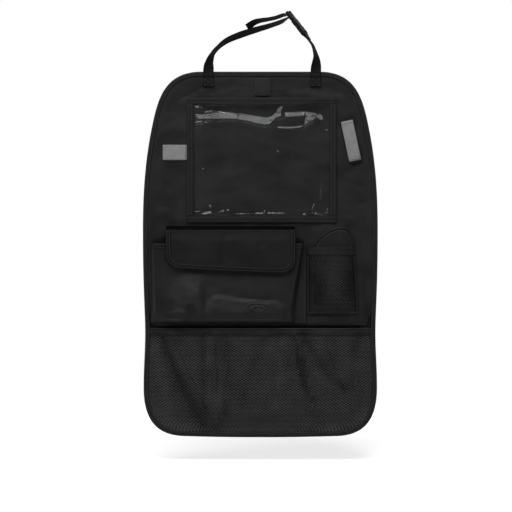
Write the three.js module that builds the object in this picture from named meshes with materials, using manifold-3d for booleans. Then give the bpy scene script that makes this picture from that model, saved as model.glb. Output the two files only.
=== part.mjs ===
// Car seat back organizer, in millimetres.
// It stands as it hangs on a seat: +Z is up, the front faces -Y, and +X is to the right seen from the front.
// The origin is the middle of the panel's top edge, on the panel's back face.

import * as THREE from "three";
import { mergeVertices } from "three/addons/utils/BufferGeometryUtils.js";
import Module from "manifold-3d";

const wasm = await Module();
wasm.setup();

// Clearance between two pieces that touch.
const gap = 0.3;

// Panel. A drop is a distance down from the top edge.
const panelHeight = 694;
const panelWidth = 446;
const widestDrop = 300;
const topEdgeWidth = 224;
const shoulderWidth = 406;
const shoulderDrop = 92;
const waistWidth = 437;
const waistDrop = 495;
const hipWidth = 443;
const hipDrop = panelHeight - 94;
const bottomEdgeWidth = 280;
const bottomEdgeDrop = panelHeight - 2;
const panelThickness = 3;
const rimThickness = 1.6;
const bindingWidth = 9;
const bindingThickness = 1;
// The binding's front lip rises over this length, from this far above the foot net's mouth.
const lipRiseAbove = 60;
const lipRiseLength = 30;

// Label on the top edge.
const labelWidth = 28;
const labelHeight = 33;
const labelThickness = 0.8;
const labelOffset = 3.8;
const labelDrop = 12.5;
const labelCorner = 2.5;

// Tablet pocket: a clear film in a frame of tape, open along its top edge.
const frameWidth = 283;
const frameHeight = 236.5;
const frameOffset = 2.3;
const frameDrop = 49.8;
const frameTapeWidth = 11.5;
const frameTapeThickness = 1;
const filmThickness = 0.5;
const filmLift = 8;
const filmRamp = 30;
const filmSeam = 1.5;
const tapeCorner = 1;

// Grey straps beside the tablet pocket, for a charging cable.
const leftTabLength = 46;
const leftTabHeight = 29;
const leftTabDrop = 139;
const greyStrapThickness = 1;
const greyStrapCorner = 1.5;
const rightStrapLength = 77;
const rightStrapWidth = 23;
const rightStrapTilt = 12;
// Its middle's place between the tablet frame and the panel's edge.
const rightStrapShare = 0.42;
const rightStrapDrop = 131.5;
const rightBackingLength = 84;
const rightBackingThickness = 0.8;
const rightBackingAside = 1.5;
const rightBackingDown = 2;

// Bellows pocket with a flap.
const clothThickness = 1.2;
const pocketMouthDrop = 327;
const pocketBottomDrop = 478;
const pocketDepth = 12;
const pocketBottomFold = 22;
const pocketBulge = 3;
const pocketBulgeShare = 0.55;
const pocketLeftSeam = 208;
const pocketLeftFold = 6;
const pocketLeftFoldLow = 10;
const pocketSpacing = 1.7;
const pocketRightFold = 7;
const pocketRightFoldLow = 32;
const pocketHemHeight = 9;
const softTape = 0.8;
const flapTopDrop = 295;
const flapLeftDrop = 371;
const flapRightDrop = 382;
const flapWidth = 244;
const flapOffset = -56;
const flapCornerRadius = 26;
const flapThickness = 2;
const flapRamp = 28;
const flapBindingWidth = 9;
const fastenerWidth = 60;
const fastenerHeight = 20;
const fastenerThickness = 1;
const fastenerDrop = 345;
const fastenerCorner = 2;

// Bottle pocket of net, with a round-topped backing behind it.
const bottleLeft = 88.7;
const pocketRightSeam = bottleLeft - pocketSpacing;
const bottleTopWidth = 89.3;
const bottleBottomWidth = 97;
const bottleMouthDrop = 335;
const bottleBottomDrop = 460;
const bottleDepth = 20;
const bottleSquareness = 2.5;
const bottleFootShare = 0.3;
const backingInset = 12.8;
const backingWidth = 75.2;
const backingShoulderDrop = 333;
const backingApexDrop = 296;
const backingApexAcross = 53;
const backingThickness = 2;
const backingTaper = 5;
const backingFootRise = 18;
const backingShoulderLean = 3;
// Heights of the arch's curve over its shoulders, left and right.
const archRiseLeft = 16;
const archRiseRight = 20;

// Net pocket across the foot of the panel.
const netThickness = 0.8;
const netRib = 0.27;
const netMouthDrop = 487;
const netDepth = 12;
const netRamp = 42;
const netFlatEdge = 16;
const hemHeight = 13;
const hemThickness = 1;

// Strap that hangs the organizer on the two headrest posts.
const webbingWidth = 20;
const webbingThickness = 1.2;
const strapSewnLength = 29;
const strapStepStart = 5;
const strapStepEnd = 1.5;
const leftStrapX = -98.4;
const rightStrapAnchorX = 105.3;
// Ways of the free webbing between its sewn ends and the buckle: x, y, z and roll in degrees.
const leftStrapWay = [
  [leftStrapX, -5.2, 3, 0], [-96.8, -7.5, 17, 35], [-90.5, -11.5, 32, 88], [-80, -12, 44.5, 128],
  [-64, -12, 57, 158], [-38.6, -12, 68, 180], [-10, -12.4, 77.3, 152], [18, -13, 85.4, 115],
  [40, -13.2, 93.2, 98],
];
const leftTailWay = [
  [40, -13.2, 105.2, 80], [29, -14, 103, 80], [14, -15.2, 100.4, 79],
  [2, -16.2, 96, 70], [-12, -16.8, 89, 48], [-25, -17, 79.6, 22],
];
const rightStrapWay = [
  [rightStrapAnchorX, -5.2, 3, 0], [106, -7, 16, 18], [105, -10.5, 29, 55], [102, -13, 40, 84],
  [99, -14.5, 48, 88],
];

// Side release buckle.
const buckleX = 68;
const buckleY = -15;
const buckleZ = 90;
const buckleLean = 38;
const buckleTurn = 72;
const buckleWidth = 27;
const buckleThickness = 7.5;
const buckleWall = 1.45;
const socketLength = 35.5;
const plugLength = 19.2;
const plugThickness = 6.5;
const buckleBar = 2.8;
const buckleSlot = 3.2;
const buckleCorner = 3;
const buckleEdge = 1.1;
const prongWidth = 2.6;
const prongLength = 21;
const barbLength = 10.5;
const guideWidth = 4;
const guidePoint = 3;
const slotPlay = 0.5;
const socketSideWall = 2.3;
const socketBridge = 4;
const windowSetback = 9;
const windowPlay = 0.8;
const gripRadius = 8.5;
const gripOutside = 5.6;
const prongPlay = 1;
const barbSink = 0.5;
const barbBevel = 0.6;
const prongEdge = 0.3;

// Colours.
const cloth = { color: 0x242427, roughness: 0.92, metalness: 0 };
const tape = { color: 0x1c1c1e, roughness: 0.85, metalness: 0 };
const netCord = { color: 0x1a1a1c, roughness: 0.8, metalness: 0 };
const webbing = { color: 0x151516, roughness: 0.75, metalness: 0 };
const greyTape = { color: 0x7b7b7d, roughness: 0.9, metalness: 0 };
const clearFilm = { color: 0x9fa2a6, roughness: 0.15, metalness: 0, transparent: true, opacity: 0.25 };
const plastic = { color: 0x101011, roughness: 0.4, metalness: 0 };

const front = -panelThickness;
const onPanel = front - gap;
const across = new THREE.Vector3(0, 1, 0);

// Skin: a closed surface kept as loose corner points, turned to face out at the end.
class Skin {
  constructor() {
    this.corners = [];
  }

  face(a, b, c) {
    this.corners.push(a, b, c);
  }

  quad(a, b, c, d) {
    this.face(a, b, c);
    this.face(a, c, d);
  }

  geometry() {
    let volume = 0;
    const normal = new THREE.Vector3();
    for (let i = 0; i < this.corners.length; i += 3) {
      const [a, b, c] = this.corners.slice(i, i + 3);
      volume += a.dot(normal.crossVectors(b, c));
    }
    const points = volume < 0 ? this.corners.slice().reverse() : this.corners;
    return new THREE.BufferGeometry().setFromPoints(points);
  }
}

// A two-sided skin over a flat map: near(u, v) is one face and far(u, v) the other.
class Slab extends Skin {
  constructor(near, far) {
    super();
    this.near = near;
    this.far = far;
  }

  patch(...corners) {
    for (let i = 1; i + 1 < corners.length; i += 1) {
      const three = [corners[0], corners[i], corners[i + 1]];
      this.face(...three.map(([u, v]) => this.near(u, v)));
      this.face(...three.reverse().map(([u, v]) => this.far(u, v)));
    }
  }

  edge(from, to) {
    this.quad(this.near(...to), this.near(...from), this.far(...from), this.far(...to));
  }
}

// A sheet over a grid of u and v shares.
function sheet(us, vs, near, far) {
  const slab = new Slab(near, far);
  const right = us.length - 1;
  const top = vs.length - 1;
  for (let i = 0; i < right; i += 1) {
    for (let j = 0; j < top; j += 1) {
      slab.patch([us[i], vs[j]], [us[i + 1], vs[j]], [us[i + 1], vs[j + 1]], [us[i], vs[j + 1]]);
    }
    slab.edge([us[i], vs[0]], [us[i + 1], vs[0]]);
    slab.edge([us[i + 1], vs[top]], [us[i], vs[top]]);
  }
  for (let j = 0; j < top; j += 1) {
    slab.edge([us[right], vs[j]], [us[right], vs[j + 1]]);
    slab.edge([us[0], vs[j + 1]], [us[0], vs[j]]);
  }
  return slab.geometry();
}

// A net: a sheet with staggered diamond gaps inside a plain margin.
function netSheet({ columns, rows, marginU, marginV, near, far }) {
  const slab = new Slab(near, far);
  const share = (k, last, margin) => clamp(margin + ((1 - 2 * margin) * k) / last);
  const lineU = (c) => (c < 0 || c > columns ? clamp(c) : share(c, columns, marginU));
  const lineV = (r) => (r < 0 || r > rows ? clamp(r) : share(r, rows, marginV));
  const site = ([c, r]) => [lineU(c), lineV(r)];
  const onNet = ([c, r]) => c >= 0 && c <= columns && r >= 0 && r <= rows;
  for (let c = 0; c <= columns; c += 1) {
    for (let r = c % 2; r <= rows; r += 2) {
      diamond(slab, [c, r], site, onNet);
    }
  }
  netMargin(slab, columns, rows, site);
  return slab.geometry();
}

// The plain margin round the lattice, one line of cells wide.
function netMargin(slab, columns, rows, site) {
  for (let c = -1; c <= columns; c += 1) {
    for (let r = -1; r <= rows; r += 1) {
      const onLattice = c >= 0 && c < columns && r >= 0 && r < rows;
      if (onLattice) continue;
      const [low, right, high, left] = [[c, r], [c + 1, r], [c + 1, r + 1], [c, r + 1]].map(site);
      slab.patch(low, right, high, left);
      if (r === -1) slab.edge(low, right);
      if (c === columns) slab.edge(right, high);
      if (r === rows) slab.edge(high, left);
      if (c === -1) slab.edge(left, low);
    }
  }
}

// One diamond of a net: four ribs round a gap, or plain cloth where the edge cuts it.
function diamond(slab, [c, r], site, onNet) {
  const corners = [[c + 1, r], [c, r + 1], [c - 1, r], [c, r - 1]];
  const whole = corners.every(onNet);
  const centre = site([c, r]);
  const inner = (corner) => site(corner).map((share, k) => share + netRib * (centre[k] - share));
  corners.forEach((corner, k) => {
    const next = corners[(k + 1) % 4];
    if (whole) {
      slab.patch(site(corner), site(next), inner(next), inner(corner));
      slab.edge(inner(next), inner(corner));
    } else if (onNet(corner) && onNet(next)) {
      slab.patch(centre, site(corner), site(next));
    }
  });
}

// A skin through rings of equal length: closed on itself, or capped by the flat section at both ends.
function loft(rings, section) {
  const skin = new Skin();
  const closed = section === undefined;
  const steps = closed ? rings.length : rings.length - 1;
  for (let i = 0; i < steps; i += 1) {
    const here = rings[i];
    const next = rings[(i + 1) % rings.length];
    here.forEach((point, j) => {
      const k = (j + 1) % here.length;
      skin.quad(point, next[j], next[k], here[k]);
    });
  }
  if (!closed) {
    const flat = section.map(([x, y]) => new THREE.Vector2(x, y));
    const turn = THREE.ShapeUtils.isClockWise(flat) ? -1 : 1;
    for (const [a, b, c] of THREE.ShapeUtils.triangulateShape(flat, [])) {
      const same = turn * THREE.ShapeUtils.area([flat[a], flat[b], flat[c]]) > 0;
      const [p, q] = same ? [b, c] : [c, b];
      const [first, last] = [rings[0], rings[rings.length - 1]];
      skin.face(first[a], first[p], first[q]);
      skin.face(last[a], last[q], last[p]);
    }
  }
  return skin.geometry();
}

// A flat piece cut to a shape in X and Z, between two depths.
function plate(shape, back, face) {
  const geometry = new THREE.ExtrudeGeometry(shape, {
    depth: back - face,
    bevelEnabled: false,
    curveSegments: 3,
  });
  return geometry.rotateX(Math.PI / 2).translate(0, back, 0);
}

function rectangle(left, bottom, width, height, radius) {
  const shape = new THREE.Shape();
  shape.moveTo(left + radius, bottom);
  shape.lineTo(left + width - radius, bottom);
  shape.absarc(left + width - radius, bottom + radius, radius, -Math.PI / 2, 0);
  shape.absarc(left + width - radius, bottom + height - radius, radius, 0, Math.PI / 2);
  shape.absarc(left + radius, bottom + height - radius, radius, Math.PI / 2, Math.PI);
  shape.absarc(left + radius, bottom + radius, radius, Math.PI, Math.PI * 1.5);
  return shape;
}

function shares(count) {
  return Array.from({ length: count + 1 }, (_, i) => i / count);
}

function clamp(value) {
  return Math.min(1, Math.max(0, value));
}

function ease(value) {
  const t = clamp(value);
  return t * t * (3 - 2 * t);
}

function mix(a, b, t) {
  return a + (b - a) * t;
}

function radians(degrees) {
  return (degrees * Math.PI) / 180;
}

// Panel outline
// The right half, from the middle of the top edge round to the middle of the bottom edge.
function halfOutline() {
  const [top, shoulder, widest, waist, hip, bottom] =
    [topEdgeWidth, shoulderWidth, panelWidth, waistWidth, hipWidth, bottomEdgeWidth].map((w) => w / 2);
  const sideSlope = 0.22;
  const flare = 0.28 * (widestDrop - shoulderDrop);
  const path = new THREE.Path();
  path.moveTo(0, 0);
  path.lineTo(top, 0);
  path.bezierCurveTo(mix(top, shoulder, 0.72), 0,
    shoulder - (sideSlope * shoulderDrop) / 2, -shoulderDrop / 2, shoulder, -shoulderDrop);
  path.bezierCurveTo(shoulder + sideSlope * flare, -shoulderDrop - flare,
    widest, -mix(shoulderDrop, widestDrop, 0.57), widest, -widestDrop);
  path.bezierCurveTo(widest, -mix(widestDrop, waistDrop, 0.6),
    waist, -mix(widestDrop, waistDrop, 0.8), waist, -waistDrop);
  path.bezierCurveTo(waist, -mix(waistDrop, hipDrop, 0.35),
    hip, -mix(waistDrop, hipDrop, 0.6), hip, -hipDrop);
  path.bezierCurveTo(hip, -mix(hipDrop, bottomEdgeDrop, 0.7),
    mix(hip, bottom, 0.33), -bottomEdgeDrop, bottom, -bottomEdgeDrop);
  path.quadraticCurveTo(bottom / 2, -panelHeight, 0, -panelHeight);
  return path.getPoints(7);
}

const rightSide = halfOutline();
const leftSide = rightSide.slice(1, -1).reverse().map((point) => new THREE.Vector2(-point.x, point.y));
const outline = [...rightSide, ...leftSide];

// The outline moved inwards.
function inset(distance) {
  return outline.map((point, i) => {
    const before = outline[(i + outline.length - 1) % outline.length];
    const after = outline[(i + 1) % outline.length];
    const along = after.clone().sub(before).normalize();
    return new THREE.Vector2(point.x + along.y * distance, point.y - along.x * distance);
  });
}

// Half the width of a loop of outline points at a height.
function halfWidthAt(loop, z) {
  const side = loop.slice(1, rightSide.length);
  const next = side.findIndex((point) => point.y <= z);
  const [above, below] = [side[next - 1], side[next]];
  return mix(above.x, below.x, (above.y - z) / (above.y - below.y));
}

function edgeDistance(x, z) {
  const here = new THREE.Vector2(x, z);
  return Math.min(...outline.map((from, i) => {
    const side = outline[(i + 1) % outline.length].clone().sub(from);
    const along = clamp(here.clone().sub(from).dot(side) / side.lengthSq());
    return here.distanceTo(from.clone().addScaledVector(side, along));
  }));
}

// Panel
const rimBack = -(panelThickness - rimThickness);
const webInset = bindingThickness + gap;

// The padded panel, pressed thin round its rim from behind where the binding wraps it.
function backPanel() {
  const skin = new Skin();
  const rings = [
    [inset(bindingWidth + gap), 0],
    [inset(bindingWidth + gap), rimBack],
    [inset(webInset), rimBack],
    [inset(webInset), front],
  ].map(([loop, y]) => loop.map((point) => new THREE.Vector3(point.x, y, point.y)));
  const count = outline.length;
  for (let k = 0; k + 1 < rings.length; k += 1) {
    for (let i = 0; i < count; i += 1) {
      const j = (i + 1) % count;
      skin.quad(rings[k][i], rings[k + 1][i], rings[k + 1][j], rings[k][j]);
    }
  }
  const faces = THREE.ShapeUtils.triangulateShape(outline, []);
  for (const [a, b, c] of faces) {
    const clockwise = THREE.ShapeUtils.area([outline[a], outline[b], outline[c]]) < 0;
    const [p, q] = clockwise ? [b, c] : [c, b];
    skin.face(rings[0][a], rings[0][p], rings[0][q]);
    skin.face(rings[3][a], rings[3][q], rings[3][p]);
  }
  return skin.geometry();
}

// The front lip stands higher where the net's edge is caught under it.
function lipRise(z) {
  const start = netMouthDrop - lipRiseAbove;
  return (netThickness + 2 * gap) * ease((-z - start) / lipRiseLength);
}

function edgeBinding() {
  const backLip = rimBack + gap;
  const corner = 0.9;
  const section = [
    [bindingWidth, backLip + bindingThickness, 0],
    [corner, backLip + bindingThickness, 0],
    [0, backLip + bindingThickness - corner, 0],
    [0, front - gap - bindingThickness + corner, 1],
    [corner, front - gap - bindingThickness, 1],
    [bindingWidth, front - gap - bindingThickness, 1],
    [bindingWidth, front - gap, 1],
    [bindingThickness, front - gap, 1],
    [bindingThickness, backLip, 0],
    [bindingWidth, backLip, 0],
  ];
  const lines = section.map(([inward]) => inset(inward));
  const rings = outline.map((point, i) => section.map(([, y, rises], k) => {
    const { x, y: z } = lines[k][i];
    return new THREE.Vector3(x, y - rises * lipRise(z), z);
  }));
  return loft(rings);
}

function labelPatch() {
  const shape = rectangle(labelOffset - labelWidth / 2, -labelDrop - labelHeight,
    labelWidth, labelHeight, labelCorner);
  return plate(shape, onPanel, onPanel - labelThickness);
}

// Tablet pocket
const frameLeft = frameOffset - frameWidth / 2;
const frameRight = frameOffset + frameWidth / 2;
const frameTop = -frameDrop;
const frameBottom = frameTop - frameHeight;

// The film leaves the panel inside its side and bottom tapes.
function filmBack(x, z) {
  const lifted = (distance) => ease((distance - frameTapeWidth) / filmRamp);
  const lift = lifted(x - frameLeft) * lifted(frameRight - x) * lifted(z - frameBottom);
  return onPanel - filmLift * lift;
}

// Grid lines from a seam inwards: closer together where the sheet rises.
function risingLines(edge, inward) {
  const rise = [0, 1 / 4, 1 / 2, 3 / 4, 1].map((share) => frameTapeWidth + share * filmRamp);
  return [filmSeam, ...rise].map((distance) => edge + inward * distance);
}

function filmColumns() {
  const left = risingLines(frameLeft, 1);
  const right = risingLines(frameRight, -1).reverse();
  const middle = shares(6).slice(1, -1).map((share) => mix(left.at(-1), right[0], share));
  return [...left, ...middle, ...right];
}

function tabletWindow() {
  const top = frameTop - frameTapeThickness - gap;
  const low = risingLines(frameBottom, 1);
  const high = shares(4).slice(1).map((share) => mix(low.at(-1), top, share));
  const back = (x, z) => new THREE.Vector3(x, filmBack(x, z), z);
  const face = (x, z) => new THREE.Vector3(x, filmBack(x, z) - filmThickness, z);
  return sheet(filmColumns(), [...low, ...high], face, back);
}

// The top tape is folded over the film's free edge.
function tabletTapeTop() {
  const face = -filmThickness - gap;
  const section = [
    [-frameTapeWidth, face],
    [-frameTapeWidth, face - frameTapeThickness],
    [0, face - frameTapeThickness],
    [0, 0],
    [-frameTapeThickness, 0],
    [-frameTapeThickness, face],
  ];
  const columns = [frameLeft, ...filmColumns(), frameRight];
  const rings = columns.map((x) => section.map(([up, out]) =>
    new THREE.Vector3(x, filmBack(x, frameTop) + out, frameTop + up)));
  return loft(rings, section);
}

function frameTape(left, bottom, width, height) {
  const back = onPanel - filmThickness - gap;
  return plate(rectangle(left, bottom, width, height, tapeCorner), back, back - frameTapeThickness);
}

const tapeBottom = () => frameTape(frameLeft, frameBottom, frameWidth, frameTapeWidth);

function sideTape(left) {
  const bottom = frameBottom + frameTapeWidth + gap;
  return frameTape(left, bottom, frameTapeWidth, frameTop - frameTapeWidth - gap - bottom);
}

function cableStrapLeft() {
  const shape = rectangle(frameLeft - leftTabLength, -leftTabDrop - leftTabHeight,
    leftTabLength - gap, leftTabHeight, greyStrapCorner);
  return plate(shape, onPanel, onPanel - greyStrapThickness);
}

const rightStrapBack = onPanel - rightBackingThickness - gap;

function cableStrapRight() {
  const shape = rectangle(-rightStrapWidth / 2, -rightStrapLength / 2,
    rightStrapWidth, rightStrapLength, greyStrapCorner);
  return plate(shape, rightStrapBack, rightStrapBack - greyStrapThickness);
}

function cableStrapBacking() {
  const shape = rectangle(rightBackingAside - rightStrapWidth / 2, -rightBackingDown - rightBackingLength / 2,
    rightStrapWidth, rightBackingLength, greyStrapCorner);
  return plate(shape, onPanel, onPanel - rightBackingThickness);
}

// Bellows pocket
// u runs -1 at the left seam, 0 and 1 at the folds of the front, 2 at the right seam.
// v runs -1 at the bottom seam, 0 at the bottom fold, 1 at the mouth.
function pocketPoint(u, v, out) {
  const upper = clamp(v);
  const leftFold = mix(pocketLeftFoldLow, pocketLeftFold, upper) - pocketLeftSeam;
  const rightFold = pocketRightSeam - mix(pocketRightFoldLow, pocketRightFold, upper);
  const foldZ = -pocketBottomDrop + pocketBottomFold;
  let x = mix(leftFold, rightFold, u);
  if (u < 0) x = mix(leftFold, -pocketLeftSeam, -u);
  if (u > 1) x = mix(rightFold, pocketRightSeam, u - 1);
  const z = v < 0 ? mix(foldZ, -pocketBottomDrop, -v) : mix(foldZ, -pocketMouthDrop, v);
  const gusset = (share) => Math.sin((Math.PI / 2) * clamp(share));
  const lift = Math.min(gusset(1 + u), gusset(2 - u), gusset(1 + v));
  const bulge = pocketBulge * Math.sin(Math.PI * clamp(u)) * Math.sin(Math.PI * clamp(v / pocketBulgeShare));
  return new THREE.Vector3(x, onPanel - pocketDepth * lift - bulge + out, z);
}

const pocketAcross = [-1, -0.5, 0, 1 / 6, 2 / 6, 3 / 6, 4 / 6, 5 / 6, 1, 1.5, 2];

function flapPocketBody() {
  const upwards = [-1, -0.5, 0, 0.14, 0.28, 0.41, 0.55, 0.78, 1];
  return sheet(pocketAcross, upwards,
    (u, v) => pocketPoint(u, v, -clothThickness), (u, v) => pocketPoint(u, v, 0));
}

// A tape folded over a cloth edge: along is into the cloth, out is across it.
function foldedTape(width, thickness) {
  const [back, face] = [gap, -thickness - gap];
  return [
    [width, back + softTape],
    [-gap - softTape, back + softTape],
    [-gap - softTape, face - softTape],
    [width, face - softTape],
    [width, face],
    [-gap, face],
    [-gap, back],
    [width, back],
  ];
}

function flapPocketHem() {
  const section = foldedTape(pocketHemHeight, clothThickness);
  const height = pocketBottomDrop - pocketBottomFold - pocketMouthDrop;
  const rings = pocketAcross.slice(2, -2).map((u) =>
    section.map(([down, out]) => pocketPoint(u, 1 - down / height, out)));
  return loft(rings, section);
}

// Flap
const flapLeft = flapOffset - flapWidth / 2;
const flapHang = pocketDepth + clothThickness + 3 * gap + 2 * fastenerThickness;
const flapKink = -flapTopDrop - flapRamp;

// It slopes out over the pocket's mouth and then hangs straight.
function flapBack(z) {
  return onPanel - flapHang * clamp((-flapTopDrop - z) / flapRamp);
}

function flapFoot(x) {
  const line = mix(-flapLeftDrop, -flapRightDrop, (x - flapLeft) / flapWidth);
  const side = Math.min(x - flapLeft, flapLeft + flapWidth - x);
  const short = Math.max(0, flapCornerRadius - side);
  return line + flapCornerRadius - Math.sqrt(flapCornerRadius ** 2 - short ** 2);
}

function flapColumns() {
  return shares(16).map((share) => flapOffset - (flapWidth / 2) * Math.cos(Math.PI * share));
}

function pocketFlap() {
  const height = (x, v) => (v < 1 ? mix(flapFoot(x), flapKink, v) : mix(flapKink, -flapTopDrop, v - 1));
  const point = (x, v, out) => new THREE.Vector3(x, flapBack(height(x, v)) + out, height(x, v));
  return sheet(flapColumns(), [0, 0.5, 1, 1.5, 2],
    (x, v) => point(x, v, -flapThickness), (x, v) => point(x, v, 0));
}

function flapBinding() {
  const start = -flapTopDrop - flapRamp / 4;
  const foot = flapColumns().map((x) => new THREE.Vector2(x, flapFoot(x)));
  const sideOf = (x) => [new THREE.Vector2(x, start), new THREE.Vector2(x, flapKink)];
  const edge = [...sideOf(foot[0].x), ...foot, ...sideOf(foot.at(-1).x).reverse()];
  const section = foldedTape(flapBindingWidth, flapThickness);
  const rings = edge.map((point, i) => {
    const before = edge[Math.max(i - 1, 0)];
    const after = edge[Math.min(i + 1, edge.length - 1)];
    const along = after.clone().sub(before).normalize();
    return section.map(([inward, out]) => {
      const z = point.y + along.x * inward;
      return new THREE.Vector3(point.x - along.y * inward, flapBack(z) + out, z);
    });
  });
  return loft(rings, section);
}

function fastener(back) {
  const shape = rectangle(flapOffset - fastenerWidth / 2, -fastenerDrop - fastenerHeight,
    fastenerWidth, fastenerHeight, fastenerCorner);
  return plate(shape, back, back - fastenerThickness);
}

const hookPatch = () => fastener(onPanel - flapHang + gap + fastenerThickness);
const loopPatch = () => fastener(onPanel - pocketDepth - clothThickness - gap);

// Bottle pocket
function bottleBacking() {
  const left = bottleLeft + backingInset;
  const right = left + backingWidth;
  const low = -bottleBottomDrop + backingFootRise;
  const mouth = -bottleMouthDrop;
  const shoulder = -backingShoulderDrop;
  const apex = [left + backingApexAcross, -backingApexDrop];
  const shape = new THREE.Shape();
  shape.moveTo(left, low);
  shape.lineTo(right - backingTaper, low);
  shape.lineTo(right - backingTaper, mouth);
  shape.lineTo(right, shoulder);
  shape.bezierCurveTo(right, shoulder + archRiseRight, mix(apex[0], right, 0.8), apex[1], ...apex);
  shape.bezierCurveTo(mix(apex[0], left, 0.5), apex[1],
    left + backingShoulderLean, shoulder + archRiseLeft, left, shoulder);
  return plate(shape, onPanel, onPanel - backingThickness);
}

const bottleNet = { columns: 6, rows: 8, marginU: 0.06, marginV: hemHeight / (bottleBottomDrop - bottleMouthDrop) };

function bottlePoint(u, v, out) {
  const x = bottleLeft + u * mix(bottleBottomWidth, bottleTopWidth, v);
  const z = mix(-bottleBottomDrop, -bottleMouthDrop, v);
  const lift = (1 - Math.abs(2 * u - 1) ** bottleSquareness) * Math.sin((Math.PI / 2) * clamp(v / bottleFootShare));
  return new THREE.Vector3(x, onPanel - bottleDepth * lift + out, z);
}

// A band outside a net's top margin, on the net's own grid lines.
function netHem(net, point, us) {
  const back = -netThickness - gap;
  return sheet(us, [1 - net.marginV, 1],
    (u, v) => point(u, v, back - hemThickness), (u, v) => point(u, v, back));
}

function netLines(net) {
  return shares(net.columns).map((share) => mix(net.marginU, 1 - net.marginU, share));
}

function netOf(net, point) {
  return netSheet({
    ...net,
    near: (u, v) => point(u, v, -netThickness),
    far: (u, v) => point(u, v, 0),
  });
}

// Net pocket at the foot
const netEdge = inset(webInset + gap);
const netTop = -netMouthDrop;
const netFoot = -bottomEdgeDrop + webInset + 2 * gap;
const footNet = {
  columns: 20,
  rows: 13,
  marginU: (bindingWidth - webInset + gap) / panelWidth,
  marginV: hemHeight / (netTop - netFoot),
};

function footPoint(u, v, out) {
  const z = mix(netFoot, netTop, v);
  const x = (2 * u - 1) * halfWidthAt(netEdge, z);
  const lift = netDepth * ease((edgeDistance(x, z) - netFlatEdge) / netRamp);
  return new THREE.Vector3(x, onPanel - lift + out, z);
}

// Buckle
// Its own frame: x across the webbing, y along it towards the adjuster, z out of its face.
const buckle = new THREE.Group();
placeBuckle();

function placeBuckle() {
  const [lean, turn] = [radians(buckleLean), radians(buckleTurn)];
  const along = new THREE.Vector3(-Math.sin(lean), 0, Math.cos(lean));
  const wide = new THREE.Vector3(Math.cos(lean), 0, Math.sin(lean)).multiplyScalar(Math.cos(turn));
  wide.addScaledVector(across, Math.sin(turn));
  const out = new THREE.Vector3().crossVectors(wide, along);
  buckle.quaternion.setFromRotationMatrix(new THREE.Matrix4().makeBasis(wide, along, out));
  buckle.position.set(buckleX, buckleY, buckleZ);
  buckle.updateMatrixWorld();
}

const socketEnd = -(socketLength + plugLength + gap) / 2;
const socketMouth = socketEnd + socketLength;
const plugBase = socketMouth + gap;
const plugEnd = plugBase + plugLength;
const slotHalf = webbingWidth / 2 + slotPlay;
const cavityHalf = buckleWidth / 2 - socketSideWall;
const cavityDepth = buckleThickness - 2 * buckleWall;
const windowTop = socketMouth - windowSetback;
const windowHeight = barbLength + windowPlay;
// How far a cutting block runs past the face that it opens.
const past = 1;

function solidOf(geometry) {
  geometry.deleteAttribute("normal");
  geometry.deleteAttribute("uv");
  const merged = mergeVertices(geometry, 1e-4);
  return new wasm.Manifold(new wasm.Mesh({
    numProp: 3,
    vertProperties: merged.attributes.position.array,
    triVerts: merged.index.array,
  }));
}

function geometryOf(solid) {
  const { vertProperties, triVerts } = solid.getMesh();
  const geometry = new THREE.BufferGeometry();
  geometry.setAttribute("position", new THREE.BufferAttribute(vertProperties, 3));
  geometry.setIndex(new THREE.BufferAttribute(triVerts, 1));
  return geometry;
}

function box(x0, x1, y0, y1, z0, z1) {
  const geometry = new THREE.BoxGeometry(x1 - x0, y1 - y0, z1 - z0);
  return solidOf(geometry.translate((x0 + x1) / 2, (y0 + y1) / 2, (z0 + z1) / 2));
}

// A slab with rounded edges, centred on z = 0.
function slabWithEdges(shape, thickness, edge) {
  const geometry = new THREE.ExtrudeGeometry(shape, {
    depth: thickness - 2 * edge,
    bevelThickness: edge,
    bevelSize: edge,
    bevelOffset: -edge,
    bevelSegments: 2,
    curveSegments: 4,
  });
  return solidOf(geometry.translate(0, 0, edge - thickness / 2));
}

// The webbing's bar stands free between two rails, so the webbing stays inside their thickness.
function barRecess(from, to) {
  const high = buckleThickness;
  const half = buckleBar / 2;
  return box(-slotHalf, slotHalf, from, to, half, high).add(box(-slotHalf, slotHalf, from, to, -high, -half));
}

function buckleSocket() {
  const high = buckleThickness;
  const shape = rectangle(-buckleWidth / 2, socketEnd, buckleWidth, socketLength, buckleCorner);
  const barTop = socketEnd + buckleBar;
  const slotTop = barTop + buckleSlot;
  let body = slabWithEdges(shape, buckleThickness, buckleEdge)
    .subtract(box(-slotHalf, slotHalf, barTop, slotTop, -high, high))
    .subtract(barRecess(socketEnd - past, slotTop))
    .subtract(box(-cavityHalf, cavityHalf, slotTop + socketBridge, socketMouth + past,
      -cavityDepth / 2, cavityDepth / 2));
  for (const side of [-1, 1]) {
    const [near, far] = [side * (cavityHalf - past), side * buckleWidth].sort((a, b) => a - b);
    const window = box(near, far, windowTop - windowHeight, windowTop, -cavityDepth / 2, cavityDepth / 2);
    const grip = new THREE.CylinderGeometry(gripRadius, gripRadius, 2 * high, 28).rotateX(Math.PI / 2);
    grip.translate(side * (buckleWidth / 2 + gripOutside), windowTop - windowHeight / 2, 0);
    body = body.subtract(window).subtract(solidOf(grip));
  }
  return geometryOf(body);
}

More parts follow.
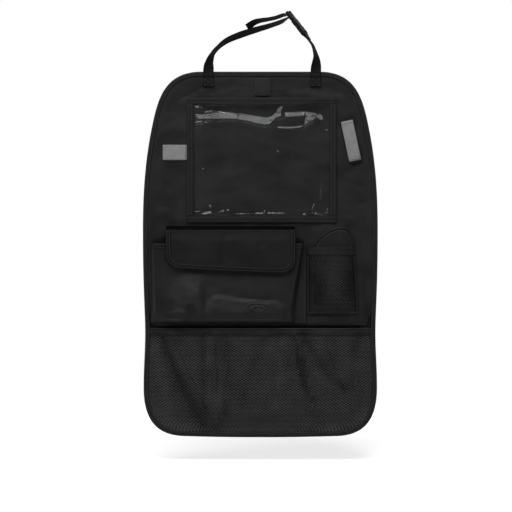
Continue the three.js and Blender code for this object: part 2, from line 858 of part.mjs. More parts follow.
// A sprung arm with the barb that shows in the socket's side window.
function prong(side) {
  const inner = cavityHalf - prongPlay - prongWidth;
  const outer = inner + prongWidth;
  const root = plugBase + past;
  const tip = plugBase - prongLength;
  const barbTop = windowTop - windowPlay / 2;
  const barbOut = buckleWidth / 2 - barbSink;
  const shape = new THREE.Shape();
  shape.moveTo(inner, root);
  shape.lineTo(inner, tip + barbBevel);
  shape.quadraticCurveTo(inner, tip, inner + barbBevel, tip);
  shape.lineTo(outer - barbBevel, tip);
  shape.quadraticCurveTo(barbOut, barbTop - barbLength * 0.75, barbOut, barbTop - barbLength * 0.45);
  shape.lineTo(barbOut, barbTop - barbBevel);
  shape.lineTo(barbOut - barbBevel, barbTop);
  shape.lineTo(outer, barbTop);
  shape.lineTo(outer, root);
  const solid = slabWithEdges(shape, cavityDepth - 2 * gap, prongEdge);
  return side > 0 ? solid : solid.mirror([1, 0, 0]);
}

function bucklePlug() {
  const high = buckleThickness;
  const shape = rectangle(-buckleWidth / 2, plugBase, buckleWidth, plugLength, buckleCorner);
  const lastBar = plugEnd - buckleBar;
  const outerSlot = lastBar - buckleSlot;
  const midBar = outerSlot - buckleBar;
  const innerSlot = midBar - buckleSlot;
  const guide = new THREE.Shape();
  const tip = plugBase - prongLength;
  guide.moveTo(-guideWidth / 2, plugBase + past);
  guide.lineTo(guideWidth / 2, plugBase + past);
  guide.lineTo(guideWidth / 2, tip + guidePoint);
  guide.lineTo(0, tip);
  guide.lineTo(-guideWidth / 2, tip + guidePoint);
  return geometryOf(slabWithEdges(shape, plugThickness, buckleEdge)
    .subtract(box(-slotHalf, slotHalf, innerSlot, midBar, -high, high))
    .subtract(box(-slotHalf, slotHalf, outerSlot, lastBar, -high, high))
    .subtract(barRecess(innerSlot, plugEnd + past))
    .add(slabWithEdges(guide, cavityDepth - 2 * gap, prongEdge))
    .add(prong(1))
    .add(prong(-1)));
}

// Headrest straps
const turnRadius = gap + webbingThickness / 2;
const faceUp = buckleBar / 2 + turnRadius;

// A station of the webbing in the buckle's frame, where it lies square to the bars.
function threaded(y, z) {
  const at = buckle.localToWorld(new THREE.Vector3(0, y, z));
  const wide = buckle.localToWorld(new THREE.Vector3(1, y, z)).sub(at);
  return { at, wide };
}

// The webbing turns round a bar's edge in a quarter circle.
function roundBar(y, z, from, to) {
  return shares(3).map((share) => {
    const angle = radians(mix(from, to, share));
    return threaded(y + turnRadius * Math.cos(angle), z + turnRadius * Math.sin(angle));
  });
}

// Free webbing through chosen points. Its roll is 0 face on and 90 edge on, seen from the front.
function freeWebbing(points, steps) {
  const curve = new THREE.CatmullRomCurve3(points.map(([x, y, z]) => new THREE.Vector3(x, y, z)));
  return shares(steps).map((share) => {
    const place = share * (points.length - 1);
    const k = Math.min(Math.floor(place), points.length - 2);
    const roll = radians(mix(points[k][3], points[k + 1][3], place - k));
    const along = curve.getTangent(share);
    const flat = new THREE.Vector3().crossVectors(across, along).normalize();
    const deep = new THREE.Vector3().crossVectors(along, flat);
    const wide = flat.multiplyScalar(Math.cos(roll)).addScaledVector(deep, Math.sin(roll));
    return { at: curve.getPoint(share), wide };
  });
}

// The sewn end lies on the panel and steps over the binding.
function sewnEnd(x) {
  const half = webbingThickness / 2;
  const low = onPanel - half;
  const high = onPanel - bindingThickness - gap - half;
  const wide = new THREE.Vector3(1, 0, 0);
  return [[low, -strapSewnLength], [low, -bindingWidth - strapStepStart],
    [high, -bindingWidth - strapStepEnd], [high, -1]]
    .map(([y, z]) => ({ at: new THREE.Vector3(x, y, z), wide }));
}

function ribbon(stations) {
  const [w, t] = [webbingWidth / 2, webbingThickness / 2];
  const section = [[w, t], [-w, t], [-w, -t], [w, -t]];
  let last = stations[0].wide;
  const rings = stations.map(({ at, wide }, i) => {
    const before = stations[Math.max(i - 1, 0)].at;
    const after = stations[Math.min(i + 1, stations.length - 1)].at;
    const along = after.clone().sub(before).normalize();
    const side = wide.clone().addScaledVector(along, -wide.dot(along)).normalize();
    if (side.dot(last) < 0) side.negate();
    last = side;
    const out = new THREE.Vector3().crossVectors(along, side);
    return section.map(([a, b]) => at.clone().addScaledVector(side, a).addScaledVector(out, b));
  });
  return loft(rings, section);
}

// From the left anchor, through the adjuster's two slots, to the free tail.
function strapLeft() {
  const lastBar = plugEnd - buckleBar;
  const midLow = lastBar - buckleSlot - buckleBar;
  const midHigh = midLow + buckleBar;
  const half = buckleBar / 2;
  const up = threaded(midLow - turnRadius, -7).at;
  const down = threaded(midHigh + turnRadius + 4, -8).at;
  const rise = freeWebbing([...leftStrapWay, [up.x, up.y, up.z, 92]], 36);
  const tail = freeWebbing([[down.x, down.y, down.z, 80], ...leftTailWay], 22);
  return ribbon([
    ...sewnEnd(leftStrapX),
    ...rise,
    threaded(midLow - turnRadius, -3.6),
    ...roundBar(midLow, half, 180, 90),
    ...roundBar(midHigh, half, 90, 0),
    threaded(midHigh + turnRadius, -half),
    threaded(midHigh + turnRadius + 1.2, -4),
    ...tail,
  ]);
}

// From the right anchor, round the socket's bar and back onto itself.
function strapRight() {
  const half = buckleBar / 2;
  const barTop = socketEnd + buckleBar;
  const layer = (webbingThickness + gap) / 2;
  const start = threaded(socketEnd - 16, -layer).at;
  const rise = freeWebbing([...rightStrapWay, [start.x, start.y, start.z, 72]], 18);
  return ribbon([
    ...sewnEnd(rightStrapAnchorX),
    ...rise,
    threaded(socketEnd - 10, -layer),
    threaded(socketEnd - 5, -1.6),
    threaded(socketEnd - 0.4, -faceUp),
    ...roundBar(barTop, -half, -90, 0),
    ...roundBar(barTop, half, 0, 90),
    threaded(socketEnd - 0.4, faceUp),
    threaded(socketEnd - 5, 1.6),
    threaded(socketEnd - 10, layer),
    threaded(socketEnd - 13, layer),
  ]);
}

// Assembly
const organizer = new THREE.Group();

function place(group, name, geometry, finish) {
  const mesh = new THREE.Mesh(geometry, new THREE.MeshStandardMaterial(finish));
  mesh.name = name;
  group.add(mesh);
  return mesh;
}

place(organizer, "back_panel", backPanel(), cloth);
place(organizer, "edge_binding", edgeBinding(), tape);
place(organizer, "label_patch", labelPatch(), tape);
place(organizer, "tablet_window", tabletWindow(), clearFilm);
place(organizer, "tablet_tape_top", tabletTapeTop(), tape);
place(organizer, "tablet_tape_bottom", tapeBottom(), tape);
place(organizer, "tablet_tape_left", sideTape(frameLeft), tape);
place(organizer, "tablet_tape_right", sideTape(frameRight - frameTapeWidth), tape);
place(organizer, "cable_strap_left", cableStrapLeft(), greyTape);
place(organizer, "flap_pocket_body", flapPocketBody(), cloth);
place(organizer, "flap_pocket_hem", flapPocketHem(), tape);
place(organizer, "pocket_flap", pocketFlap(), cloth);
place(organizer, "flap_binding", flapBinding(), tape);
place(organizer, "flap_hook_patch", hookPatch(), tape);
place(organizer, "flap_loop_patch", loopPatch(), tape);
place(organizer, "bottle_pocket_back", bottleBacking(), cloth);
place(organizer, "bottle_pocket_mesh", netOf(bottleNet, bottlePoint), netCord);
place(organizer, "bottle_pocket_hem", netHem(bottleNet, bottlePoint, [0, ...netLines(bottleNet), 1]), tape);
place(organizer, "mesh_pocket_net", netOf(footNet, footPoint), netCord);
place(organizer, "mesh_pocket_hem", netHem(footNet, footPoint, netLines(footNet)), tape);

const tiltedStrap = new THREE.Group();
const panelEdgeX = halfWidthAt(outline, -rightStrapDrop);
tiltedStrap.position.set(mix(frameRight, panelEdgeX, rightStrapShare), 0, -rightStrapDrop);
tiltedStrap.rotation.y = -radians(rightStrapTilt);
place(tiltedStrap, "cable_strap_right", cableStrapRight(), greyTape);
place(tiltedStrap, "cable_strap_right_backing", cableStrapBacking(), tape);
organizer.add(tiltedStrap);

place(buckle, "buckle_plug", bucklePlug(), plastic);
place(buckle, "buckle_socket", buckleSocket(), plastic);
organizer.add(buckle);
place(organizer, "strap_left", strapLeft(), webbing);
place(organizer, "strap_right", strapRight(), webbing);

export default organizer;
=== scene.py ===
import math

import bpy
import numpy as np
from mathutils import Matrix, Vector, noise


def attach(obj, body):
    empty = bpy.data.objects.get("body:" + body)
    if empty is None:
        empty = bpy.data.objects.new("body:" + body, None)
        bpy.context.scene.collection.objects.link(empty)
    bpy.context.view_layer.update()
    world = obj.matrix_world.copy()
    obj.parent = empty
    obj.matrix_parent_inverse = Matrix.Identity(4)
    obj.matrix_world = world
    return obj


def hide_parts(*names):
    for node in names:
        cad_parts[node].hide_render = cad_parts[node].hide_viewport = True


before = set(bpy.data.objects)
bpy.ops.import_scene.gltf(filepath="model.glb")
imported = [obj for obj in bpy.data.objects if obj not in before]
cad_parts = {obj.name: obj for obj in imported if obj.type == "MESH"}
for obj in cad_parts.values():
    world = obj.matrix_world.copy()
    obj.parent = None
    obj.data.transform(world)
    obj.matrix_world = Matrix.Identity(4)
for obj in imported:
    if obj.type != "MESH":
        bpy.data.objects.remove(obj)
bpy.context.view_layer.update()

# Lengths are in millimetres until a mesh is made. The front faces -Y and the origin is the
# middle of the panel's top edge, on its back face. A drop is a distance down from that edge.
mm = 0.001
gap = 0.3
scene = bpy.context.scene


def limited(value, low=0.0, high=1.0):
    return min(high, max(low, value))


def smooth(value):
    t = limited(value)
    return t * t * (3 - 2 * t)


def between(a, b, t):
    return a + (b - a) * t


def hill(distance, width):
    return math.exp(-(distance / width) ** 2)


def hump(share):  # 0 at both ends and 1 in the middle
    return math.sin(math.pi * limited(share))


def quarterRound(share):  # steep at 0, level at 1
    return math.sin(math.pi / 2 * limited(share))


def crowded(share):  # close together at both ends
    return 0.5 - 0.5 * math.cos(math.pi * share)


def ripple(x, z, size, seed):
    return noise.noise(Vector((x / size, z / size, seed)))


def shares(count):
    return [i / count for i in range(count + 1)]


def newPiece(name, points, faces, finish, instead=()):
    mesh = bpy.data.meshes.new(name)
    mesh.from_pydata([(x * mm, y * mm, z * mm) for x, y, z in points], [], faces)
    mesh.update()
    mesh.shade_smooth()
    piece = bpy.data.objects.new(name, mesh)
    scene.collection.objects.link(piece)
    mesh.materials.append(finish)
    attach(piece, "root")
    if instead:
        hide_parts(*instead)
    return piece


# A cloth over shares u (left to right) and v (bottom to top), with a face and a back.
def clothPiece(name, us, vs, face, back, finish, instead=()):
    wide, tall = len(us), len(vs)
    points = [face(u, v) for v in vs for u in us] + [back(u, v) for v in vs for u in us]
    under = wide * tall
    faces = []
    for j in range(tall - 1):
        for i in range(wide - 1):
            a, b = j * wide + i, j * wide + i + 1
            c, d = b + wide, a + wide
            faces.append((a, b, c, d))
            faces.append((under + d, under + c, under + b, under + a))
    rim = list(range(wide))
    rim += [j * wide + wide - 1 for j in range(1, tall)]
    rim += [(tall - 1) * wide + i for i in range(wide - 2, -1, -1)]
    rim += [j * wide for j in range(tall - 2, 0, -1)]
    for a, b in zip(rim, rim[1:] + rim[:1]):
        faces.append((a, under + a, under + b, b))
    return newPiece(name, points, faces, finish, instead)


def ringFaces(here, ahead, around):
    return [(here + k, here + (k + 1) % around, ahead + (k + 1) % around, ahead + k) for k in range(around)]


def endFaces(first, last, around):
    return [tuple(first + k for k in reversed(range(around))), tuple(last + k for k in range(around))]


# A skin through rings of equal length, closed on itself or capped at both ends.
def loftPiece(name, rings, finish, closed=False, instead=()):
    around = len(rings[0])
    points = [point for ring in rings for point in ring]
    faces = []
    for i in range(len(rings) - (0 if closed else 1)):
        faces += ringFaces(i * around, (i + 1) % len(rings) * around, around)
    if not closed:
        faces += endFaces(0, (len(rings) - 1) * around, around)
    return newPiece(name, points, faces, finish, instead)


def alongLine(points, step):
    spots = [Vector(p) for p in points]
    lengths = [0.0]
    for a, b in zip(spots, spots[1:]):
        lengths.append(lengths[-1] + (b - a).length)
    count = max(2, round(lengths[-1] / step))
    made, k = [], 0
    for i in range(count + 1):
        want = lengths[-1] * i / count
        while k < len(lengths) - 2 and lengths[k + 1] < want:
            k += 1
        share = (want - lengths[k]) / max(1e-9, lengths[k + 1] - lengths[k])
        made.append(spots[k].lerp(spots[k + 1], share))
    return made


# A crease runs from a to b, with a sharp crest. Its width and height are in millimetres.
def crease(x, z, a, b, width, height):
    ax, az = a
    bx, bz = b
    dx, dz = bx - ax, bz - az
    share = ((x - ax) * dx + (z - az) * dz) / (dx * dx + dz * dz)
    off = ((x - ax) * dz - (z - az) * dx) / math.hypot(dx, dz)
    over = max(0.0, -share, share - 1) * math.hypot(dx, dz)
    return height * math.exp(-abs(off) / width) * hill(over, width * 1.6)


def creases(x, z, lines):
    return sum(crease(x, z, *line) for line in lines)


formStep = 0.8  # the grid that a sloped form is worked out on


# A sheet shaped by where it faces upwards. Each stroke is a line of (x, z, half width) with a
# slope: the sheet comes forward by that slope down the stroke, then eases back to its rest.
def slopedForm(strokes, left, right, top, low, rest, easeOut, easeBack, uneven, blend, seed):
    xs = np.arange(left, right + formStep, formStep)
    zs = np.arange(top, low - formStep, -formStep)
    gridX, gridZ = np.meshgrid(xs, zs)
    slope, held = np.zeros(gridX.shape), np.zeros(gridX.shape)
    for line, steep in strokes:
        for (ax, az, aw), (bx, bz, bw) in zip(line, line[1:]):
            dx, dz = bx - ax, bz - az
            share = np.clip(((gridX - ax) * dx + (gridZ - az) * dz) / (dx * dx + dz * dz), 0, 1)
            off = np.hypot(gridX - ax - share * dx, gridZ - az - share * dz)
            wide = aw + (bw - aw) * share
            mask = np.clip((wide - off) / (0.4 * wide) + 0.4, 0, 1)
            slope = np.maximum(slope, steep * mask * mask * (3 - 2 * mask))
            held = np.maximum(held, mask)
    wander = np.array([[ripple(x, z * 2.2, 13, seed) for x in xs] for z in zs])
    slope *= 1 + uneven * wander
    rises = np.zeros(gridX.shape)
    for j in range(1, len(zs)):
        before = rises[j - 1]
        goal = np.array([rest(x, zs[j]) for x in xs])
        easing = (goal - before) / np.where(goal > before, easeOut, easeBack)
        rises[j] = before + formStep * (slope[j] + (1 - held[j]) * easing)
    # The rows are blurred sideways, so that no step is left between strokes.
    soft = np.bartlett(2 * round(blend / formStep) + 3)
    soft, spare = soft / soft.sum(), len(soft) // 2
    rises = np.array([np.convolve(np.pad(row, spare, "edge"), soft, "valid") for row in rises])

    def height(x, z):
        i = limited((x - left) / formStep, 0, len(xs) - 1.001)
        j = limited((top - z) / formStep, 0, len(zs) - 1.001)
        a, b = int(i), int(j)
        upper = between(rises[b, a], rises[b, a + 1], i - a)
        lower = between(rises[b + 1, a], rises[b + 1, a + 1], i - a)
        return float(between(upper, lower, j - b))

    return height


thread = {
    "pitch": 3.3, "length": 2.5, "radius": 0.34, "dip": 0.3, "sides": 5,
    "rings": ((0, 0.45, 1), (0.18, 0.95, 0.2), (0.5, 1.1, 0), (0.82, 0.95, 0.2), (1, 0.45, 1)),  # along, size, sunk
}


# Rows of single stitches. Each row is a line of points on the cloth's face.
def stitchPiece(name, rows, outward=(0, -1, 0), finish=None):
    points, faces = [], []
    out, sides = Vector(outward), thread["sides"]
    for row in rows:
        line = alongLine(row, thread["pitch"])
        for a, b in zip(line, line[1:]):
            along = b - a
            if along.length < 0.5:
                continue
            along.normalize()
            side = along.cross(out).normalized()
            start = len(points)
            for share, size, sink in thread["rings"]:
                centre = a + along * (share * thread["length"]) - out * (sink * thread["dip"])
                for k in range(sides):
                    turn = 2 * math.pi * k / sides
                    reach = side * math.cos(turn) + out * math.sin(turn)
                    points.append(centre + reach * (size * thread["radius"]))
            last = start + (len(thread["rings"]) - 1) * sides
            for low in range(start, last, sides):
                faces += ringFaces(low, low + sides, sides)
            faces += endFaces(start, last, sides)
    return newPiece(name, points, faces, finish or threadFinish)


# A flat sewn piece cut to a loop: crowned a little, with a soft edge. Its points are put in
# their places by a function of its own.
def patchPiece(name, loop, back, thickness, crown, finish, instead=(),
               place=lambda x, y, z: (x, y, z), rings=7):
    middle = sum(loop, Vector((0, 0, 0))) / len(loop)
    layers = [[place(p.x, back, p.z) for p in loop]]
    for k in range(rings):
        t = k / (rings - 1)
        size, height = between(1.0, 0.08, t ** 0.8), thickness * (0.75 if k == 0 else 1) + crown * smooth(t * 1.6)
        layer = []
        for p in loop:
            x, z = between(middle.x, p.x, size), between(middle.z, p.z, size)
            layer.append(place(x, back - height - 0.12 * thickness * ripple(x, z, 9, 2.0), z))
        layers.append(layer)
    return loftPiece(name, layers, finish, instead=instead)


def roundedLoop(left, bottom, width, height, radius, step=1.2):
    right, top = left + width - radius, bottom + height - radius
    left, bottom = left + radius, bottom + radius
    corners = []
    for cx, cz, start in ((right, bottom, -90), (right, top, 0), (left, top, 90), (left, bottom, 180)):
        for k in range(5):
            turn = math.radians(start + 22.5 * k)
            corners.append((cx + radius * math.cos(turn), 0, cz + radius * math.sin(turn)))
    corners.append(corners[0])
    return alongLine(corners, step)[:-1]


def dressNodes(names, finish):
    for name in names:
        for slot in bpy.data.objects[name].material_slots:
            slot.material = finish


# Finishes
def addNode(tree, kind, inputs=None, **settings):
    made = tree.nodes.new(kind)
    for key, value in settings.items():
        setattr(made, key, value)
    for key, value in (inputs or {}).items():
        if isinstance(value, bpy.types.NodeSocket):
            tree.links.new(value, made.inputs[key])
        else:
            made.inputs[key].default_value = value
    return made


def addMath(tree, operation, *inputs):
    return addNode(tree, "ShaderNodeMath", dict(enumerate(inputs)), operation=operation).outputs[0]


def addNoise(tree, place, scale, detail, roughness=0.5):
    inputs = {"Vector": place, "Scale": scale, "Detail": detail, "Roughness": roughness}
    return addNode(tree, "ShaderNodeTexNoise", inputs).outputs["Fac"]


def addRange(tree, value, fromMin, fromMax, toMin, toMax):
    inputs = {"Value": value, "From Min": fromMin, "From Max": fromMax, "To Min": toMin, "To Max": toMax}
    return addNode(tree, "ShaderNodeMapRange", inputs).outputs[0]


def addBump(tree, height, strength, depth):
    return addNode(tree, "ShaderNodeBump", {"Height": height, "Strength": strength, "Distance": depth}).outputs[0]


def newFinish(name):
    finish = bpy.data.materials.new(name)
    finish.use_nodes = True
    tree = finish.node_tree
    return finish, tree, tree.nodes["Principled BSDF"], addNode(tree, "ShaderNodeTexCoord").outputs["Object"]


def linkShader(tree, shader, colour, tone, rough, normal, specular):
    dyed = addNode(tree, "ShaderNodeVectorMath", {0: colour, "Scale": tone}, operation="SCALE").outputs[0]
    for name, output in (("Base Color", dyed), ("Roughness", rough), ("Normal", normal)):
        tree.links.new(output, shader.inputs[name])
    shader.inputs["Specular IOR Level"].default_value = specular


# Cloth, tape and webbing: threads over and under each other, with uneven dye, a tone that is darker in the weave's
# hollows and lighter on its crests, and pressed spots.
# The pitch is a thread's width, and ribs run one way only.
def wovenFinish(name, level, pitch, roughness, bump=0.35, cloudy=0.18, fuzz=0.0, ribs=None, specular=0.14,
                patchSize=14):
    finish, tree, shader, place = newFinish(name)

    def threadWave(direction):
        inputs = {"Vector": place, "Scale": 1000 / pitch / 6.283, "Distortion": 0.4, "Detail": 1.0}
        return addNode(tree, "ShaderNodeTexWave", inputs, wave_type="BANDS", bands_direction=direction).outputs["Fac"]

    threads = threadWave(ribs) if ribs else addMath(tree, "MULTIPLY", threadWave("X"), threadWave("Z"))
    clouds = addNoise(tree, place, patchSize, 5.0, 0.6)
    lint = addNoise(tree, place, 620.0, 3.0, 0.7)
    height = addMath(tree, "MULTIPLY_ADD", lint, 0.5 + fuzz, threads)
    shade = addRange(tree, clouds, 0.3, 0.7, 1 - cloudy, 1 + cloudy)
    # tone follows the weave's height: darker in its hollows, lighter on its crests
    heightTone = addRange(tree, height, 0.2, 1.2, 0.72, 1.28)
    tone = addMath(tree, "MULTIPLY", shade, heightTone)
    polish = addRange(tree, clouds, 0.3, 0.7, roughness - 0.08, roughness + 0.08)
    linkShader(tree, shader, (level, level, level), tone, polish, addBump(tree, height, bump, 0.0004), specular)
    return finish


panelFinish = wovenFinish("panelCloth", 0.0098, 0.95, 0.58, cloudy=0.42, specular=0.18)
pocketFinish = wovenFinish("pocketCloth", 0.0072, 0.95, 0.52, cloudy=0.34, specular=0.21)
# The flap's cloth is the panel's cloth made darker: painted shade against the light that its upward slope catches.
flapShadedFinish = wovenFinish("flapCloth", 0.0072, 0.95, 0.6, cloudy=0.2)
# Near-black cloth finish: painted shade, for faces that lie in shadow.
paintedShadeFinish = wovenFinish("paintedShadeCloth", 0.005, 0.95, 0.75, specular=0.08)
# Near-black finish for the flap's top fold: painted shadow.
flapShadowFinish = wovenFinish("flapShadowFold", 0.0012, 0.95, 0.9, specular=0.02)
tapeFinish = wovenFinish("bindingTape", 0.0085, 0.8, 0.62, bump=0.5, patchSize=60)
flapTapeFinish = wovenFinish("flapTape", 0.006, 0.8, 0.7, bump=0.5, patchSize=60, specular=0.1)
elasticFinish = wovenFinish("elasticBand", 0.0085, 1.5, 0.66, bump=0.8, ribs="X", patchSize=60)
# Lighter than the elastic band: painted highlight along the band's top edge.
cordHighlightFinish = wovenFinish("bandCordHighlight", 0.02, 0.6, 0.5, bump=0.5, patchSize=60)
netFinish = wovenFinish("netYarn", 0.046, 0.5, 0.45, bump=0.6, patchSize=30)
# The bottle net's yarn is the foot net's yarn made darker: painted shade for its shadowed inside.
bottleNetShadedFinish = wovenFinish("bottleNetYarnShaded", 0.027, 0.5, 0.4, bump=0.6, patchSize=30)
webbingFinish = wovenFinish("strapWebbing", 0.0078, 1.1, 0.6, bump=0.6, patchSize=60, specular=0.03)
greyFinish = wovenFinish("greyLoopTape", 0.15, 0.9, 0.9, bump=0.8, cloudy=0.1, fuzz=0.9, patchSize=90, specular=0.2)
threadFinish = wovenFinish("sewingThread", 0.05, 0.35, 0.5, bump=0.3, patchSize=200)
greyThreadFinish = wovenFinish("greyThread", 0.12, 0.35, 0.6, bump=0.3, patchSize=200)
hookFinish = wovenFinish("hookTape", 0.012, 1.6, 0.7, bump=1.0, patchSize=60)
labelFinish = wovenFinish("labelSatin", 0.013, 0.45, 0.55, bump=0.3, ribs="Z", patchSize=120, specular=0.1)

film = {
    "through": (0.985, 0.988, 0.99, 1), "gloss": (0.94, 0.95, 0.96, 1), "dull": (0.03, 0.1),
    "straightOn": 0.011, "edgeOn": 0.9,  # the share of light that it throws back
}


def filmFinish():
    finish, tree, shader, place = newFinish("clearFilm")
    tree.nodes.remove(shader)
    dent = addBump(tree, addNoise(tree, place, 45.0, 2.0), 0.25, 0.0006)
    dull = addRange(tree, addNoise(tree, place, 18.0, 4.0), 0.35, 0.7, *film["dull"])
    clear = addNode(tree, "ShaderNodeBsdfTransparent", {"Color": film["through"]})
    gloss = addNode(tree, "ShaderNodeBsdfAnisotropic", {"Roughness": dull, "Color": film["gloss"], "Normal": dent})
    slant = addNode(tree, "ShaderNodeLayerWeight", {"Blend": 0.5, "Normal": dent}).outputs["Facing"]
    share = addRange(tree, addMath(tree, "POWER", slant, 5.0), 0.0, 1.0, film["straightOn"], film["edgeOn"])
    both = addNode(tree, "ShaderNodeMixShader", {0: share, 1: clear.outputs[0], 2: gloss.outputs[0]})
    tree.links.new(both.outputs[0], tree.nodes["Material Output"].inputs["Surface"])
    return finish


moulded = {
    "colour": (0.0105, 0.0105, 0.011), "tone": (0.85, 1.2), "rough": (0.42, 0.55), "grain": 0.05, "specular": 0.02,
}


def mouldedFinish():
    finish, tree, shader, place = newFinish("mouldedPlastic")
    scuff = addNoise(tree, place, 160.0, 5.0, 0.65)
    tone, rough = (addRange(tree, scuff, 0.3, 0.75, *moulded[key]) for key in ("tone", "rough"))
    grain = addBump(tree, addNoise(tree, place, 1500.0, 2.0), moulded["grain"], 0.0002)
    linkShader(tree, shader, moulded["colour"], tone, rough, grain, moulded["specular"])
    return finish


windowFinish = filmFinish()
plasticFinish = mouldedFinish()
print("finishes made")

# Camera, floor, sky and lamps, in metres but for the view's centre and the floor's drop
studio = {
    "viewCentre": (-8.2, -350), "distance": 2.6, "viewWidth": 0.973, "sensor": 36,
    "floorDrop": 741, "floor": (1.3, -0.85, 1.0), "floorColour": (0.82, 0.82, 0.82, 1), "floorGlow": 0.62,
    "ambient": 0.2, "roomGlow": 0.13,
    "lamps": [  # name, place, size across, size up, power
        ("overhead", (-0.45, -1.5, 1.5), 2.6, 0.8, 43),
        ("left", (-2.2, -1.7, -0.5), 1.0, 1.6, 25),
        ("right", (2.2, -1.7, -0.7), 1.0, 1.6, 18),
        ("key", (0.1, -0.95, 1.9), 0.9, 0.26, 22),
    ],
    "mirrored": ("overhead", "key"),  # lamps that gloss shows
}


def placeCamera():
    x, z = (value * mm for value in studio["viewCentre"])
    lens = bpy.data.cameras.new("viewpoint")
    lens.sensor_width = studio["sensor"]
    lens.lens = studio["sensor"] * studio["distance"] / studio["viewWidth"]
    camera = bpy.data.objects.new("viewpoint", lens)
    camera.location = (x, -studio["distance"], z)
    camera.rotation_euler = (math.pi / 2, 0, 0)
    scene.collection.objects.link(camera)
    scene.camera = camera


def placeLamps():
    aimed = Vector((0, 0, studio["viewCentre"][1] * mm))
    for name, spot, wide, tall, power in studio["lamps"]:
        lamp = bpy.data.lights.new(name, "AREA")
        lamp.shape = "RECTANGLE"
        lamp.size, lamp.size_y, lamp.energy = wide, tall, power
        holder = bpy.data.objects.new(name, lamp)
        holder.location = spot
        holder.rotation_euler = (aimed - Vector(spot)).to_track_quat("-Z", "Y").to_euler()
        holder.visible_glossy = name in studio["mirrored"]
        scene.collection.objects.link(holder)


def makeSky():
    sky = bpy.data.worlds.new("studio")
    sky.use_nodes = True
    tree = sky.node_tree
    shader = tree.nodes["Background"]
    rays = addNode(tree, "ShaderNodeLightPath").outputs
    facing = addNode(tree, "ShaderNodeSeparateXYZ", {0: addNode(tree, "ShaderNodeTexCoord").outputs["Generated"]})
    # Gloss sees the white backdrop behind the object and the dim room on the camera's side.
    behind = addRange(tree, facing.outputs["Y"], -0.25, 0.25, studio["roomGlow"], 1.0)
    lit = addNode(tree, "ShaderNodeMix", {0: rays["Is Glossy Ray"], 2: studio["ambient"], 3: behind},
                  data_type="FLOAT")
    seen = addMath(tree, "MAXIMUM", rays["Is Camera Ray"], rays["Is Transmission Ray"])
    strength = addNode(tree, "ShaderNodeMix", {0: seen, 2: lit.outputs[0], 3: 1.0}, data_type="FLOAT")
    tree.links.new(strength.outputs[0], shader.inputs["Strength"])
    shader.inputs["Color"].default_value = (1, 1, 1, 1)
    scene.world = sky
    scene.view_settings.view_transform = "Standard"


def makeFloor():
    paint = bpy.data.materials.new("paleFloor")
    paint.use_nodes = True
    tree = paint.node_tree
    shader = tree.nodes["Principled BSDF"]
    shader.inputs["Base Color"].default_value = studio["floorColour"]
    shader.inputs["Roughness"].default_value = 0.9
    shader.inputs["Emission Color"].default_value = (1, 1, 1, 1)
    seen = addNode(tree, "ShaderNodeLightPath").outputs["Is Camera Ray"]
    tree.links.new(addMath(tree, "MULTIPLY", seen, studio["floorGlow"]), shader.inputs["Emission Strength"])
    side, near, far = studio["floor"]
    mesh = bpy.data.meshes.new("studioFloor")
    mesh.from_pydata([(-side, near, 0), (side, near, 0), (side, far, 0), (-side, far, 0)], [], [(0, 1, 2, 3)])
    mesh.materials.append(paint)
    floor = bpy.data.objects.new("studioFloor", mesh)
    floor.location.z = -studio["floorDrop"] * mm
    scene.collection.objects.link(floor)


placeCamera()
placeLamps()
makeSky()
makeFloor()
print("camera, floor and lamps placed")

# Panel
panel = {
    "height": 694, "width": 446, "widestDrop": 300, "topEdge": 224, "shoulder": 406, "shoulderDrop": 92,
    "waist": 437, "waistDrop": 495, "hip": 443, "hipDrop": 600, "bottomEdge": 280, "bottomEdgeDrop": 692,
    "thickness": 3, "rimThickness": 1.6, "seamInset": 1.3, "sideFrom": 60, "columns": 124, "rows": 250,
    "sag": 5.0, "sagFrom": 372, "sagRun": 92, "sagDrop": 480, "sagEnd": 8,
    "ridge": ((190, -362), (197, -464), 6, 2.6), "wave": 2.6, "deepest": 2.3,
}
binding = {
    "width": 9, "thickness": 1, "step": 5, "seams": (2.4, 7.4), "lipRise": 1.4, "lipFrom": 427, "lipRun": 30,
}
panelCreases = [  # from, to, width, height as a share of the panel's wave
    ((-168, -60), (-110, -30), 7, 0.5), ((-196, -150), (-150, -128), 8, 0.45),
    ((-204, -206), (-146, -196), 9, 0.5), ((-210, -262), (-150, -246), 8, 0.4),
    ((-206, -300), (-184, -286), 7, 0.5), ((150, -58), (176, -96), 8, 0.5), ((150, -204), (206, -222), 9, 0.45),
    ((154, -262), (212, -246), 9, 0.5), ((186, -300), (212, -330), 8, 0.5), ((192, -372), (206, -440), 7, 0.7),
    ((-90, -38), (-40, -28), 7, 0.35), ((36, -40), (96, -30), 7, 0.35), ((-100, -290), (-30, -289), 6, 0.4),
    ((86, -292), (150, -286), 7, 0.4), ((92, -300), (96, -322), 5, 0.4),
]
front = -panel["thickness"]
onPanel = front - gap
rimBack = panel["rimThickness"] - panel["thickness"]


def bezier(a, b, c, d, count):
    made = []
    for i in range(1, count + 1):
        t = i / count
        s = 1 - t
        made.append(tuple(
            s ** 3 * a[k] + 3 * s * s * t * b[k] + 3 * s * t * t * c[k] + t ** 3 * d[k] for k in (0, 1)))
    return made


